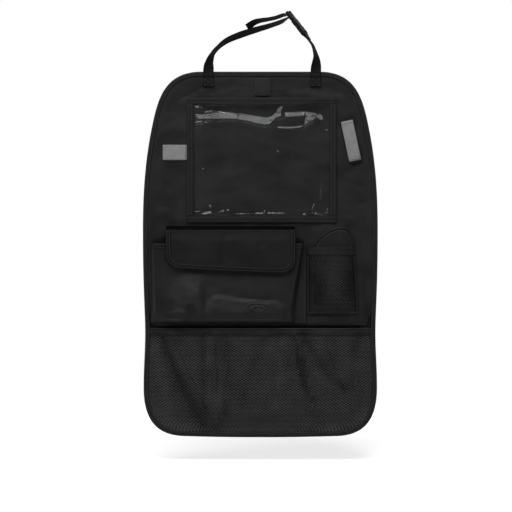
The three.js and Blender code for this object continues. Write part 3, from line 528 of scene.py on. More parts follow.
def rightHalf():
    top, shoulder, widest, waist, hip, bottom = (
        panel[key] / 2 for key in ("topEdge", "shoulder", "width", "waist", "hip", "bottomEdge"))
    s, w, a, h, b = (-panel[key] for key in ("shoulderDrop", "widestDrop", "waistDrop", "hipDrop", "bottomEdgeDrop"))
    low = -panel["height"]
    slope, flare = 0.22, 0.28 * (s - w)
    line = [(0, 0), (top / 2, 0), (top, 0)]
    line += bezier((top, 0), (between(top, shoulder, 0.72), 0), (shoulder + slope * s / 2, s / 2), (shoulder, s), 20)
    line += bezier((shoulder, s), (shoulder + slope * flare, s - flare), (widest, between(s, w, 0.57)), (widest, w),
                   20)
    line += bezier((widest, w), (widest, between(w, a, 0.6)), (waist, between(w, a, 0.8)), (waist, a), 16)
    line += bezier((waist, a), (waist, between(a, h, 0.35)), (hip, between(a, h, 0.6)), (hip, h), 12)
    line += bezier((hip, h), (hip, between(h, b, 0.7)), (between(hip, bottom, 0.33), b), (bottom, b), 20)
    line += bezier((bottom, b), (bottom / 2, low), (bottom / 4, low), (0, low), 6)
    return line


def outlineLoop(step):
    right = [(p.x, p.y) for p in alongLine([(x, z, 0) for x, z in rightHalf()], step)]
    return right + [(-x, z) for x, z in reversed(right[1:-1])]


def insetLoop(loop, distance):
    made = []
    for i, (x, z) in enumerate(loop):
        before, after = loop[i - 1], loop[(i + 1) % len(loop)]
        dx, dz = after[0] - before[0], after[1] - before[1]
        size = math.hypot(dx, dz)
        made.append((x + dz / size * distance, z - dx / size * distance))
    return made


rimLoop = outlineLoop(binding["step"])
rimStart = np.array(rimLoop)
rimSpan = np.roll(rimStart, -1, axis=0) - rimStart
rimSize = (rimSpan ** 2).sum(axis=1)


def rimDistance(x, z):
    to = np.array((x, z)) - rimStart
    share = np.clip((to * rimSpan).sum(axis=1) / rimSize, 0, 1)[:, None]
    return float(np.sqrt((((to - share * rimSpan) ** 2).sum(axis=1)).min()))


# The panel's half width at each height, a distance inside its edge
def widthTable(distance):
    half = len(rimLoop) // 2
    side = [p for p in insetLoop(rimLoop, distance)[: half + 1] if p[0] > panel["sideFrom"]]
    zs = np.array([p[1] for p in side])[::-1]
    return np.maximum.accumulate(zs), np.array([p[0] for p in side])[::-1]


def halfWidth(table, z):
    return float(np.interp(z, table[0], table[1]))


# How far the cloth stands forward of its flat place. What is sewn on it moves with it.
def panelLift(x, z):
    inside = rimDistance(x, z) - binding["width"]
    low = smooth((-z - panel["sagFrom"]) / panel["sagRun"]) * (1 - smooth((-z - panel["sagDrop"]) / panel["sagEnd"]))
    return panel["sag"] * low * smooth(inside / 26) + crease(x, z, *panel["ridge"]) * smooth(inside / 9)


# Small dents and soft folds. They only go inwards, so they stay clear of what is sewn on.
def panelDents(x, z):
    inside = smooth((rimDistance(x, z) - 10) / 20)
    dents = 0.62 + 1.1 * ripple(x, z * 1.5, 58, 3.1) + 0.55 * ripple(x, z * 1.4, 24, 8.4)
    dents += 0.2 * ripple(x, z, 11, 1.2)
    return min(panel["deepest"], panel["wave"] * inside * (0.7 * dents + creases(x, z, panelCreases)))


def makePanel():
    table = widthTable(panel["seamInset"])
    low, high = -panel["height"] + panel["seamInset"], -panel["seamInset"]
    us = [crowded(between(0.04, 0.96, u)) for u in shares(panel["columns"])]
    us = [(u - us[0]) / (us[-1] - us[0]) for u in us]
    vs = [between(v, crowded(v), 0.75) for v in shares(panel["rows"])]

    def spot(u, v):
        z = between(low, high, v)
        return (2 * u - 1) * halfWidth(table, z), z

    def face(u, v):
        x, z = spot(u, v)
        return x, front - panelLift(x, z) + max(0, panelDents(x, z)), z

    def back(u, v):
        x, z = spot(u, v)
        inward = smooth((rimDistance(x, z) - binding["width"] - gap) / 3)
        return x, between(rimBack, 0, inward) - panelLift(x, z), z

    piece = clothPiece("panelCloth", us, vs, face, back, panelFinish, ["back_panel"])
    area = abs(sum(a[0] * b[1] - b[0] * a[1] for a, b in zip(rimLoop, rimLoop[1:] + rimLoop[:1]))) / 2
    return piece, area * mm * mm


# The net's edge is caught under the lower half of the binding, so the tape stands higher there.
def bindingRise(z):
    return binding["lipRise"] * smooth((-z - binding["lipFrom"]) / binding["lipRun"])


def makeBinding():
    width, thick = binding["width"], binding["thickness"]
    back, face = rimBack + gap, front - gap
    behind, outer = back + thick, face - thick
    section = [  # inward, y, share of the lip's rise: the back lip, the fold, the front lip and the inside
        (width, back + 0.1, 0), (width - 0.2, behind, 0), (width * 0.6, behind + 0.12, 0), (2.2, behind, 0),
        (0.7, behind - 0.45, 0), (0.05, between(behind, outer, 0.35), 0.2), (0.0, between(behind, outer, 0.65), 0.7),
        (0.6, outer + 0.5, 1), (2.2, outer - 0.05, 1), (width * 0.55, outer - 0.25, 1), (width - 1.8, outer - 0.05, 1),
        (width, outer + 0.25, 1), (width, face, 1), (thick, face, 1), (thick, back, 0), (width, back, 0)]
    lines = [insetLoop(rimLoop, inward) for inward, _, _ in section]
    rings = []
    for i, (x0, z0) in enumerate(rimLoop):
        pucker = 0.16 * math.sin(i * 1.9) + 0.25 * ripple(x0, z0, 16, 5.0)
        ring = []
        for k, (_, y, rises) in enumerate(section):
            x, z = lines[k][i]
            puckered = k < 5 or 6 < k < 12  # the two lips' outer sides
            ring.append((x, y - rises * bindingRise(z) - (pucker * (1 if rises else -0.3) if puckered else 0), z))
        rings.append(ring)
    tape = loftPiece("edgeTape", rings, tapeFinish, closed=True, instead=["edge_binding"])
    rows = []
    for inward in binding["seams"]:
        loop = insetLoop(rimLoop, inward)
        rows.append([(x, outer - 0.2 - bindingRise(z), z) for x, z in loop + loop[:1]])
    stitchPiece("edgeStitches", rows)
    backRows = [[(x, behind + 0.12, z) for x, _, z in row] for row in rows]
    stitchPiece("edgeStitchesBehind", backRows, outward=(0, 1, 0))
    return tape


panelPiece, panelArea = makePanel()
edgePiece = makeBinding()
print("panel and binding made")

# Label: a bare satin patch with an overlocked border
label = {
    "width": 28, "height": 33, "thickness": 0.8, "offset": 3.8, "drop": 12.5, "corner": 2.5, "border": 1.6,
    "threadStep": 0.8, "thread": ((0, 0.0), (0.35, 0.3), (1.25, 0.3), (1.6, 0.0)),  # reach and height of a stitch
}


def makeLabel():
    wide, tall, border = label["width"], label["height"], label["border"]
    left, bottom = label["offset"] - wide / 2, -label["drop"] - tall
    loop = roundedLoop(left, bottom, wide, tall, label["corner"])
    patch = patchPiece("labelPatch", loop, onPanel, label["thickness"], 0.25, labelFinish,
                       ["label_patch"])
    # Overlock: short stitches square to the edge
    inner = roundedLoop(left + border, bottom + border, wide - 2 * border, tall - 2 * border,
                        label["corner"] - 1, 1.0)
    middle = Vector((left + wide / 2, 0, bottom + tall / 2))
    face = onPanel - label["thickness"]
    spots = alongLine(inner + [inner[0]], label["threadStep"])
    points, faces = [], []
    for p, after in zip(spots, spots[1:]):
        along = (after - p).normalized()
        out = Vector((along.z, 0, -along.x))
        if out.dot(p - middle) < 0:
            out.negate()
        base = len(points)
        for reach, high in label["thread"]:
            for side, proud in ((-0.3, 0.05), (0.3, 0.05), (0, 0.25)):
                spot = p + out * reach + along * side
                points.append((spot.x, face - proud - high, spot.z))
        for low in range(base, base + 9, 3):
            for a, b in ((0, 2), (2, 1), (1, 0)):
                faces.append((low + a, low + b, low + 3 + b, low + 3 + a))
        faces.append((base, base + 1, base + 2))
        faces.append((base + 9, base + 11, base + 10))
    return patch, newPiece("labelOverlock", points, faces, threadFinish)


labelPieces = makeLabel()

# Tablet pocket: clear film in a frame of tape, open along the top
tablet = {
    "width": 283, "height": 236.5, "offset": 2.3, "drop": 49.8, "tape": 11.5, "tapeThickness": 1.0,
    "film": 0.5, "lift": 6.6, "ramp": 30, "footRamp": 150, "seam": 1.5, "topSeam": 1.3, "columns": 200,
    "rows": ((0.0, 0.14, 44), (0.14, 0.79, 96), (0.79, 1.0, 62)),  # from, to, count: close where the film is creased
    "foldRun": 3.5, "rest": 0.5, "bandDrop": 108, "bandRun": 14,
}
tapeProfile = (  # across, thickness
    (-1, 0), (-1, 0.8), (-0.92, 1), (-0.62, 0.9), (-0.3, 1.05), (0.3, 1.05), (0.62, 0.9), (0.92, 1), (1, 0.8), (1, 0))
frameLeft, frameRight = tablet["offset"] - tablet["width"] / 2, tablet["offset"] + tablet["width"] / 2
frameTop, frameBottom = -tablet["drop"], -tablet["drop"] - tablet["height"]
tapeWidth = tablet["tape"]
frameTopDrop = tablet["drop"] + tapeWidth

filmStrokes = [  # where the film tips up to the lamps: lines of (x, z, half width), with a slope
    ([(-125, -87, 6), (-104, -86.5, 5), (-83, -85, 7), (-48, -85, 6.5), (-16, -90, 7.5), (3, -94.5, 8.5),
     (15, -95.5, 7.5)], 0.36), ([(15, -95, 7), (26.4, -86, 5.5), (34.3, -75.5, 5), (45, -63.5, 1.6)], 0.29),
    ([(38, -83.7, 6), (60, -82, 4.4), (85, -80.5, 4), (102, -83, 6.2), (117, -88, 4.8), (127, -98, 2.4)], 0.35),
    ([(102, -86, 6), (88, -93, 5), (82, -102, 4), (72, -107, 2.8), (34, -107, 2.4)], 0.37),
    ([(70, -94, 1.4), (68, -104, 1.2)], 0.3), ([(-124, -97, 2.4), (-112, -95, 2.8), (-102, -98, 1.7)], 0.38),
    ([(-124, -67.5, 2.6), (-109, -67.2, 2.8)], 0.56), ([(-104, -77.5, 1.6), (-94, -75.6, 2.5)], 0.56),
    ([(-61, -66.5, 1.7), (-57, -66.8, 1.7)], 0.56), ([(-51, -69, 2.3), (-44, -69.3, 2.5)], 0.56),
    ([(-79, -76.2, 1.9), (-75, -77.6, 1.9), (-66, -79, 1.8)], 0.56),
    ([(74, -76.2, 1.7), (83, -76.8, 2.3)], 0.56), ([(126, -99, 2.2), (129, -99.5, 2.4)], 0.57),
    ([(125.5, -110, 1.6), (126.5, -113, 2.2)], 0.57), ([(33, -152.5, 1.5), (34, -156, 1.6)], 0.6),
    ([(-109, -184, 1.5), (-107, -184.6, 1.5)], 0.6),
    ([(-128, -268, 3.4), (-112, -267, 3.8), (-93, -268, 3)], 0.43),
    ([(-96, -254.7, 1.9), (-87, -260.5, 2.8), (-84.5, -267, 2.4)], 0.43),
    ([(-78, -268, 1.8), (-72, -264, 2), (-66, -268.5, 1.8)], 0.44),
    ([(-63, -262, 1.8), (-53, -268.6, 2.6)], 0.43), ([(-46, -269.6, 1.8), (-22, -270, 1.8)], 0.43),
    ([(-14, -269.6, 1.9), (6, -269.2, 2.1)], 0.43),
    ([(7, -264.4, 1.8), (16, -268, 2.1), (26, -269.6, 1.8), (47, -270, 1.6)], 0.43),
    ([(-30, -228, 1.2), (-8, -228.6, 1.3)], 0.43), ([(100.8, -252, 1.7), (99.6, -256, 2.2)], 0.63),
    ([(98.6, -262, 2.2), (98, -266, 2.4)], 0.63),
    ([(97, -270, 2.2), (112, -270, 1.8), (127, -270.2, 2.2)], 0.63),
    ([(115.6, -226.6, 2), (114.4, -232, 3)], 0.62), ([(117.5, -211.6, 2), (123, -214, 2.4)], 0.62),
    ([(127.6, -260.5, 1.6), (128.4, -262, 1.6)], 0.63), ([(89.6, -231, 0.9), (90, -240, 1.0)], 0.4),
    ([(95, -237, 0.9), (94.6, -247, 1.0)], 0.4), ([(82, -270, 1.5), (86, -270.4, 1.8)], 0.63),
    ([(107, -199, 1.5), (108, -201, 1.5)], 0.5),
]


def filmSide(x):
    ramp = tablet["ramp"]
    return smooth((x - frameLeft - tapeWidth) / ramp) * smooth((frameRight - x - tapeWidth) / ramp)


def filmRest(x, z):
    below = smooth((-z - tablet["bandDrop"]) / tablet["bandRun"])
    full = tablet["lift"] * smooth((z - frameBottom - tapeWidth) / tablet["footRamp"])
    return filmSide(x) * between(tablet["rest"], full, below)


filmRises = slopedForm(filmStrokes, frameLeft, frameRight, frameTop - tapeWidth, frameBottom, filmRest,
                       easeOut=40, easeBack=9, uneven=0.4, blend=1.0, seed=1.7)


def filmDepth(x, z):
    inside = min(x - frameLeft, frameRight - x) - tapeWidth
    fold = 1 - smooth((-z - frameTopDrop) / tablet["foldRun"])
    opened = tablet["lift"] * fold * filmSide(x)
    held = smooth((inside - 0.5) / 4) * smooth((z - frameBottom - tapeWidth - 0.4) / 2.2)
    rises = filmRises(x, z) + 0.5 * ripple(x, z, 21, 1.7) + 0.9 * ripple(x, z, 60, 6.2)
    edges = 1 - smooth((min(inside, z - frameBottom - tapeWidth) - 4) / 20)
    rises += edges * 0.5 * ripple(x * 1.3, z * 1.3, 9, 4.4)
    return onPanel - max(0.0, opened + max(0.0, rises) * held * (1 - fold))


def makeTablet():
    thick, half = tablet["tapeThickness"], tapeWidth / 2
    left, right = frameLeft + tablet["seam"], frameRight - tablet["seam"]
    low, top = frameBottom + tablet["seam"], frameTop - tablet["topSeam"]

    def filmSpot(u, v, out):
        x, z = between(left, right, u), between(low, top, v)
        return x, filmDepth(x, z) - out, z

    rows = [0.0]
    for start, end, count in tablet["rows"]:
        rows += [between(start, end, share) for share in shares(count)[1:]]
    cloth = clothPiece("tabletFilm", shares(tablet["columns"]), rows, lambda u, v: filmSpot(u, v, tablet["film"]),
                       lambda u, v: filmSpot(u, v, 0), windowFinish, ["tablet_window"])

    def level(x):
        return onPanel - tablet["film"] - gap

    def overFilm(x):  # the top tape is folded over the film's free edge
        return filmDepth(limited(x, left, right), frameTop - 1.5) - tablet["film"] - gap

    def tapeStrip(name, a, b, instead, height):
        side = (Vector(b) - Vector(a)).normalized().cross(Vector((0, -1, 0)))
        spots = alongLine([a, b], 3)
        rings = []
        for p in spots:
            wander = 0.2 * ripple(p.x, p.z, 18, 9.0)
            rings.append([tuple(p + side * (across * half + (wander if abs(across) == 1 else 0))
                                + Vector((0, height(p.x) - thick * share, 0))) for across, share in tapeProfile])
        strip = loftPiece(name, rings, tapeFinish, instead=instead)
        stitchPiece(name + "Stitches", [
            [tuple(p + side * (across * half) + Vector((0, height(p.x) - thick * 0.9, 0))) for p in spots]
            for across in (-0.62, 0.62)])
        return strip

    sideLow, sideHigh = frameBottom + tapeWidth + gap, frameTop - tapeWidth - gap
    tapes = [tapeStrip("tabletTape" + side, a, b, ["tablet_tape_" + side.lower()], height) for side, a, b, height in (
        ("Bottom", (frameLeft, 0, frameBottom + half), (frameRight, 0, frameBottom + half), level),
        ("Left", (frameLeft + half, 0, sideLow), (frameLeft + half, 0, sideHigh), level),
        ("Right", (frameRight - half, 0, sideLow), (frameRight - half, 0, sideHigh), level),
        ("Top", (frameLeft, 0, frameTop - half), (frameRight, 0, frameTop - half), overFilm))]


makeTablet()

# Grey straps beside the tablet pocket
cable = {
    "tabLength": 46, "tabHeight": 29, "tabDrop": 139, "thickness": 1.0, "corner": 1.2, "step": 1.6,
    "length": 77, "width": 23, "tilt": 12, "x": 171.9, "drop": 131.5,
    "backingLength": 84, "backingThickness": 0.8, "backingShift": (1.5, 2),
}


def makeCableStraps():
    wide, long, corner, step = (cable[key] for key in ("width", "length", "corner", "step"))
    left, bottom = frameLeft - cable["tabLength"], -cable["tabDrop"] - cable["tabHeight"]
    turn = math.radians(cable["tilt"])

    def curled(x, y, z):  # the free edge stands off a little
        return x, y - 1.1 * smooth((left + 14 - x) / 14) * (1 + 0.4 * math.sin((z - bottom) / 9)), z

    def tilted(x, y, z):
        return (cable["x"] + x * math.cos(turn) - z * math.sin(turn), y,
                -cable["drop"] + z * math.cos(turn) + x * math.sin(turn))

    def bowed(x, y, z):
        return tilted(x, y - 1.6 * hill(z - 4, 22) - 1.2 * smooth((z - long / 2 + 9) / 9), z)

    loop = roundedLoop(left, bottom, cable["tabLength"] - gap, cable["tabHeight"], corner, step)
    tab = patchPiece("cableTabLeft", loop, onPanel, cable["thickness"], 0.5, greyFinish,
                     ["cable_strap_left"], curled, 12)
    shiftX, shiftDown = cable["backingShift"]
    under = roundedLoop(shiftX - wide / 2, -shiftDown - cable["backingLength"] / 2, wide, cable["backingLength"],
                        corner, step)
    backing = patchPiece("cableStrapBacking", under, onPanel, cable["backingThickness"], 0, tapeFinish,
                         ["cable_strap_right_backing"], tilted)
    over = roundedLoop(-wide / 2, -long / 2, wide, long, corner, step)
    seat = onPanel - cable["backingThickness"] - gap
    strap = patchPiece("cableStrapRight", over, seat, cable["thickness"], 0.3, greyFinish,
                       ["cable_strap_right"], bowed, 12)
    face = seat - cable["thickness"] - 0.15
    sides, low = wide / 2 - 2, (-long / 2 + 3, -long / 2 + 8)
    rows = [[bowed(x, face, z) for x in (-sides, 0, sides)] for z in (*low, long / 2 - 4)]
    rows += [[bowed(x, face, z) for z in low] for x in (-sides, sides)]
    rows.append([(frameLeft - 2.5, onPanel - cable["thickness"] - 0.45, z)
                 for z in (bottom + 2, bottom + cable["tabHeight"] - 2)])
    stitchPiece("cableStrapStitches", rows, finish=greyThreadFinish)


makeCableStraps()
print("label, tablet pocket and grey straps made")

# Bellows pocket. u is -1 at the left seam, 0 and 1 at the folds of the front, 2 at the right seam.
# v is -1 at the bottom seam, 0 at the bottom fold and 1 at the mouth.
pocket = {
    "mouthDrop": 327, "bottomDrop": 478, "depth": 12, "bottomFold": 22, "bulge": 2.5, "thickness": 1.2,
    "leftSeam": 208, "leftFold": 6, "leftFoldLow": 10, "rightSeam": 87, "rightFold": 7, "rightFoldLow": 32,
    "hem": 9, "hemSeams": (1.6, 7.4), "tape": 0.4, "tapeReach": (-0.5, 1.5),
    "dimple": (-4.4, -450), "dimpleDepth": 0.42, "dimpleSize": 11, "leftPleat": 2.2, "rightPleat": 2.6,
    "mouthShades": {  # dark patches above the mouth at both ends: painted shade where the mouth's corners stand forward
        "pocketMouthShadeLeft": [(-205, -327), (-180, -327), (-180, -311), (-204, -320)],
        "pocketMouthShadeRight": [(62, -327), (82, -327), (82, -321.5), (74, -316), (62, -313)],
    },
}
pocketStrokes = [  # the lit parts of the front, and the ridge over its full foot
    ([(-131, -383, 12), (-144, -406, 21), (-153, -428, 25), (-166, -462, 20)], 0.155),
    ([(-112, -384, 8), (-124, -405, 13), (-117, -432, 14), (-104, -456, 14)], 0.15),
    ([(-96, -441, 3), (-86.7, -427, 4), (-74, -426.5, 4.5), (-55, -430.5, 4.5), (-33, -434, 4), (8, -437, 4),
     (30.5, -437.5, 4.5), (45, -450, 4)], 0.36), ([(-71, -444, 12), (-33, -450, 12), (24, -453, 11)], 0.15),
    ([(-182, -461, 3), (-150, -450, 3.5), (-131, -461, 3), (-103, -458, 3.5), (-87, -444, 3)], 0.28),
    ([(-190, -345, 3), (-184, -430, 5)], 0.05),
]
pocketHeight = pocket["bottomDrop"] - pocket["bottomFold"] - pocket["mouthDrop"]
pocketRises = slopedForm(pocketStrokes, -pocket["leftSeam"] - 2, pocket["rightSeam"] + 3, -pocket["mouthDrop"],
                         -pocket["bottomDrop"], lambda x, z: 0.0, easeOut=60, easeBack=60, uneven=0.5, blend=12,
                         seed=12.5)


def pocketDents(x, z):
    dimpleX, dimpleZ = pocket["dimple"]
    away = math.hypot((x - dimpleX) / 2.2, z - dimpleZ) + 1.6 * ripple(x, z, 12, 17.0)
    rises = pocketRises(x, z) + pocket["dimpleDepth"] * math.cos(away / 0.85) * hill(away, pocket["dimpleSize"])
    return rises + 0.9 * ripple(x, z, 40, 12.5) + 0.35 * ripple(x, z, 15, 3.5)


def pocketSpot(u, v, out):
    upper = limited(v)
    leftFold = between(pocket["leftFoldLow"], pocket["leftFold"], upper) - pocket["leftSeam"]
    rightFold = pocket["rightSeam"] - between(pocket["rightFoldLow"], pocket["rightFold"], upper)
    foldZ = pocket["bottomFold"] - pocket["bottomDrop"]
    x = between(leftFold, rightFold, u)
    if u < 0:
        x = between(leftFold, -pocket["leftSeam"], -u)
    if u > 1:
        x = between(rightFold, pocket["rightSeam"], u - 1)
    z = between(foldZ, -pocket["bottomDrop"], -v) if v < 0 else between(foldZ, -pocket["mouthDrop"], v)
    steep = 0.13 * (2 - u) + 0.87 * smooth((1.42 - u) / 0.42)  # the right gusset
    foot = smooth((1 + v) / 0.2) * between(0.74, 1.0, min(1.0, 1 + v))
    lift = min(quarterRound(1 + u), steep, foot)
    full = max(0.0, hump(u)) ** 0.6 * smooth((0.62 - v) / 0.4)
    opened = smooth((1 - v) / 0.3)
    rises = pocketDents(x, z) * smooth(u / 0.06) * smooth((1 - u) / 0.06) * smooth((v + 1) / 0.22) * opened
    # the welts along the left fold and over the bottom seam
    rises += 1.1 * hill(u * 280 - 1, 2.4) * smooth((v + 0.3) / 0.4) * opened
    rises += 1.4 * hill(v + 0.7, 0.09) * smooth((1 - u) / 0.1)
    # gussets pleat inwards between seam and fold
    pleat = (pocket["leftPleat"] * hump(-u) + pocket["rightPleat"] * hump(u - 1)) * smooth((v + 0.1) / 0.3)
    y = onPanel - pocket["depth"] * lift - pocket["bulge"] * full - rises + pleat * 0.6
    return x, min(y, onPanel) - panelLift(x, z) + out, z


def makePocket():
    us = sorted({*(share - 1 for share in shares(12)), *shares(160), *(share + 1 for share in shares(16))})
    vs = sorted({*(share - 1 for share in shares(16)), *shares(110)})
    body = clothPiece("bellowsPocket", us, vs, lambda u, v: pocketSpot(u, v, -pocket["thickness"]),
                      lambda u, v: pocketSpot(u, v, 0), pocketFinish, ["flap_pocket_body"])
    # Tape folded over the mouth
    height, thick, tape = pocket["hem"], pocket["thickness"], pocket["tape"]
    outer = -thick - gap - tape
    section = (
        (height, gap + tape), (1, gap + tape), (-gap - tape * 0.9, gap + tape * 0.6), (-gap - tape, -thick / 2),
        (-gap - tape * 0.9, -thick - gap - tape * 0.6), (1, outer), (height * 0.5, -thick - gap - tape * 1.15),
        (height - 0.6, outer), (height, -thick - gap), (-gap, -thick - gap), (-gap, gap), (height, gap))

    def onHem(share, down, out):
        return pocketSpot(between(*pocket["tapeReach"], share), 1 - down / pocketHeight, out)

    rings = [[onHem(share, down, out) for down, out in section] for share in shares(120)]
    # the mouth tape wears the flap's darker finish, with its painted shade
    hem = loftPiece("pocketMouthTape", rings, flapShadedFinish, instead=["flap_pocket_hem"])
    # near-black patches on the panel: painted shade beside the flap
    for name, corners in pocket["mouthShades"].items():
        loop = alongLine([(x, 0, z) for x, z in corners + corners[:1]], 1.5)[:-1]
        patchPiece(name, loop, onPanel, 0.5, 0.2, paintedShadeFinish)
    # seams of the tape, and those that hold the pocket on the panel
    rows = [[onHem(share, down, outer) for share in shares(60)] for down in pocket["hemSeams"]]
    rows += [[pocketSpot(u, between(-0.96, 0.9, share), -thick - 0.1) for share in shares(30)] for u in (-0.9, 1.92)]
    rows.append([pocketSpot(between(-0.9, 1.9, share), -0.93, -thick - 0.1) for share in shares(80)])
    seams = stitchPiece("pocketStitches", rows)


# Flap over the pocket's mouth
flap = {
    "topDrop": 295, "leftDrop": 371, "rightDrop": 382, "width": 244, "offset": -56, "corner": 26,
    "thickness": 2, "ramp": 28, "binding": 9, "bindingSeams": (1.8, 7.2), "fastener": 1.0, "quickness": 4.6,
    "seam": (-293.4, -300.4), "footBow": 1.6,
    "folds": [((-71, -312), (-74, -384), 3.0, -2.6), ((-60, -316), (-62, -380), 6, 2.0)],
    "bulges": ((-125, -340, 42, 26, 1.6), (-8, -346, 46, 28, 1.8)),  # x, z, width, height, rise
}
flapLeft = flap["offset"] - flap["width"] / 2
flapRight = flapLeft + flap["width"]
flapTop = -flap["topDrop"]
flapHang = pocket["depth"] + pocket["thickness"] + 3 * gap + 2 * flap["fastener"]


def flapFoot(x):
    share = (x - flapLeft) / flap["width"]
    line = between(-flap["leftDrop"], -flap["rightDrop"], share) - flap["footBow"] * math.sin(share * math.pi)
    short = max(0.0, flap["corner"] - min(x - flapLeft, flapRight - x))
    return line + flap["corner"] - math.sqrt(max(0.0, flap["corner"] ** 2 - short ** 2))


def flapDents(x, z):
    ends = smooth((x - flapLeft) / 30) * smooth((flapRight - x) / 30)
    rises = creases(x, z, flap["folds"]) + 1.6 + 1.1 * ripple(x, z, 34, 21.0) + 0.5 * ripple(x, z, 12, 2.2)
    rises += sum(rise * hill(x - atX, wide) * hill(z - atZ, tall) for atX, atZ, wide, tall, rise in flap["bulges"])
    rises += 0.8 * smooth((-z - 340) / 30) * (0.4 + 0.6 * math.sin(x / 31))
    return smooth((flapTop - z - 8) / 22) * (rises * (0.45 + 0.55 * ends) + 0.9 * ends * smooth((-z - 318) / 40))


def flapDepth(x, z):
    turned = quarterRound((flapTop - z) / flap["ramp"] * flap["quickness"])
    return onPanel - flapHang * turned - max(0.0, flapDents(x, z))


def makeFlap():
    wide, tape, thick = flap["binding"], pocket["tape"], flap["thickness"]
    us = [crowded(u) for u in shares(110)]

    def flapSpot(u, v, out):
        x = between(flapLeft, flapRight, u)
        z = between(flapFoot(x), flapTop, v)
        return x, flapDepth(x, z) + out, z

    cloth = clothPiece("flapCloth", us, shares(64), lambda u, v: flapSpot(u, v, -thick), lambda u, v: flapSpot(u, v, 0),
                       flapShadedFinish, ["pocket_flap"])
    # Tape folded over its free edges
    start = flapTop - flap["ramp"] / 4
    foot = [(x, 0, flapFoot(x)) for x in (between(flapLeft, flapRight, u) for u in us)]
    edge = alongLine([(flapLeft, 0, start), *foot, (flapRight, 0, start)], 3)
    face, outer = -thick - gap, -thick - gap - tape

    def onEdge(i, inward, out):
        p = edge[i]
        along = (edge[min(i + 1, len(edge) - 1)] - edge[max(i - 1, 0)]).normalized()
        x, z = p.x - along.z * inward, p.z + along.x * inward
        return x, flapDepth(limited(x, flapLeft, flapRight), z) + out, z

    rings = []
    for i in range(len(edge)):
        pucker = 0.2 * math.sin(i * 1.7) + 0.2 * ripple(i, 0, 3, 7.0)
        rings.append([onEdge(i, inward, out) for inward, out in (
            (wide, gap + tape), (1.5, gap + tape), (-gap - tape * 0.8, gap + tape * 0.4), (-gap - tape, -thick / 2),
            (-gap - tape * 0.8, face - tape * 0.4), (1.2, outer - 0.1), (wide * 0.5, outer - 0.35 - pucker * 0.5),
            (wide - 1.6, outer - 0.1), (wide, face - tape * 0.5), (wide, face), (-gap, face), (-gap, gap),
            (wide, gap))])
    border = loftPiece("flapTape", rings, flapTapeFinish, instead=["flap_binding"])
    rows = [[onEdge(i, inward, outer - 0.15) for i in range(len(edge))] for inward in flap["bindingSeams"]]
    topSeam = flapTop - 2.5
    rows.append([(x, flapDepth(x, topSeam) - thick, topSeam)
                 for x in (between(flapLeft + 2, flapRight - 2, share) for share in shares(60))])
    seams = stitchPiece("flapStitches", rows)

    # A fold along its top seam in a near-black finish: painted shadow for the gap above the flap.
    def foldSpot(u, v, out):
        x, z = between(flapLeft + 0.4, flapRight - 0.4, u), between(*reversed(flap["seam"]), v)
        return x, flapDepth(x, z) - thick - out * math.sin(math.pi * between(0.08, 0.92, v)), z

    fold = clothPiece("flapShadowSeam", shares(80), shares(8), lambda u, v: foldSpot(u, v, 0.9),
                      lambda u, v: foldSpot(u, v, -0.2), flapShadowFinish)


makePocket()
makeFlap()
dressNodes(("flap_hook_patch", "flap_loop_patch"), hookFinish)
print("pocket and flap made")

# Nets: hexagonal holes in staggered rows inside plain margins, with an elastic band at the mouth
net = {
    "acrossStep": 3.8, "upStep": 2.375, "waist": 0.26, "thickness": 0.8, "hem": 13, "hemThickness": 1.5,
    "scallop": 0.0005,
    # places up the band, with how far it stands out and how much it swells with the gathers
    "bandProfile": ((0.08, 1.0, 0.5), (0.3, 1.1, 1.0), (0.5, 0.85, 0.7), (0.7, 1.1, 1.0), (0.92, 1.0, 0.5)),
}
bandRest = -net["thickness"] - gap


# The lattice over a net. Its holes open up where it is pulled tight, and close where it is slack.
def netPiece(name, width, height, margin, spot, finish, instead, opening):
    stepX, stepZ = net["acrossStep"], net["upStep"]
    sides, foot, mouth = margin
    columns = int((width - 2 * sides) / stepX)
    rows = int((height - foot - mouth) / stepZ)
    left = (width - columns * stepX) / 2
    low = foot + (height - foot - mouth - rows * stepZ) / 2
    points, faces, known = [], [], {}

    def point(x, z):
        key = (round(x * 40), round(z * 40))
        if key not in known:
            known[key] = len(points)
            points.append(spot(x / width, z / height, 0))
        return known[key]

    # each hexagon is flat at its sides: a tall waist shared with its neighbours in the row
    side = stepZ * net["waist"]
    peak = stepZ - side
    shape = ((0, -peak), (stepX, -side), (stepX, side), (0, peak), (-stepX, side), (-stepX, -side))
    for r in range(rows + 1):
        for c in range(r % 2, columns + 1, 2):
            cx, cz = left + c * stepX, low + r * stepZ
            rim = [(cx + a, cz + b) for a, b in shape]
            if any(x < -0.01 or x > width + 0.01 or z < -0.01 or z > height + 0.01 for x, z in rim):
                continue
            hole = opening(cx / width, cz / height)
            inner = [(cx + a * hole, cz + b * hole) for a, b in shape]
            for k in range(6):
                m = (k + 1) % 6
                faces.append((point(*rim[k]), point(*rim[m]), point(*inner[m]), point(*inner[k])))
    piece = newPiece(name, points, faces, finish, instead)
    solid = piece.modifiers.new("yarn", "SOLIDIFY")
    solid.thickness = net["thickness"] * mm
    solid.offset = 1
    return piece


# A gathered elastic band: ribs run up it, and its edges scallop with the gathers.
def bandPiece(name, line, low, spot, instead):
    high, hem = 1.0, net["hemThickness"]
    rings = []
    for k, u in enumerate(line):
        gather = 0.28 * math.sin(k * 1.57) + 0.2 * math.sin(k * 0.37)
        scallop = net["scallop"] * math.sin(k * 0.9)
        ring = [(low, bandRest), (low - scallop, bandRest - hem * 0.8)]
        for up, out, swell in net["bandProfile"]:
            ring.append((between(low, high, up), bandRest - hem * out - gather * swell))
        ring += [(high + scallop, bandRest - hem * 0.8), (high, bandRest)]
        rings.append([spot(u, v, y) for v, y in ring])
    return loftPiece(name, rings, elasticFinish, instead=instead)


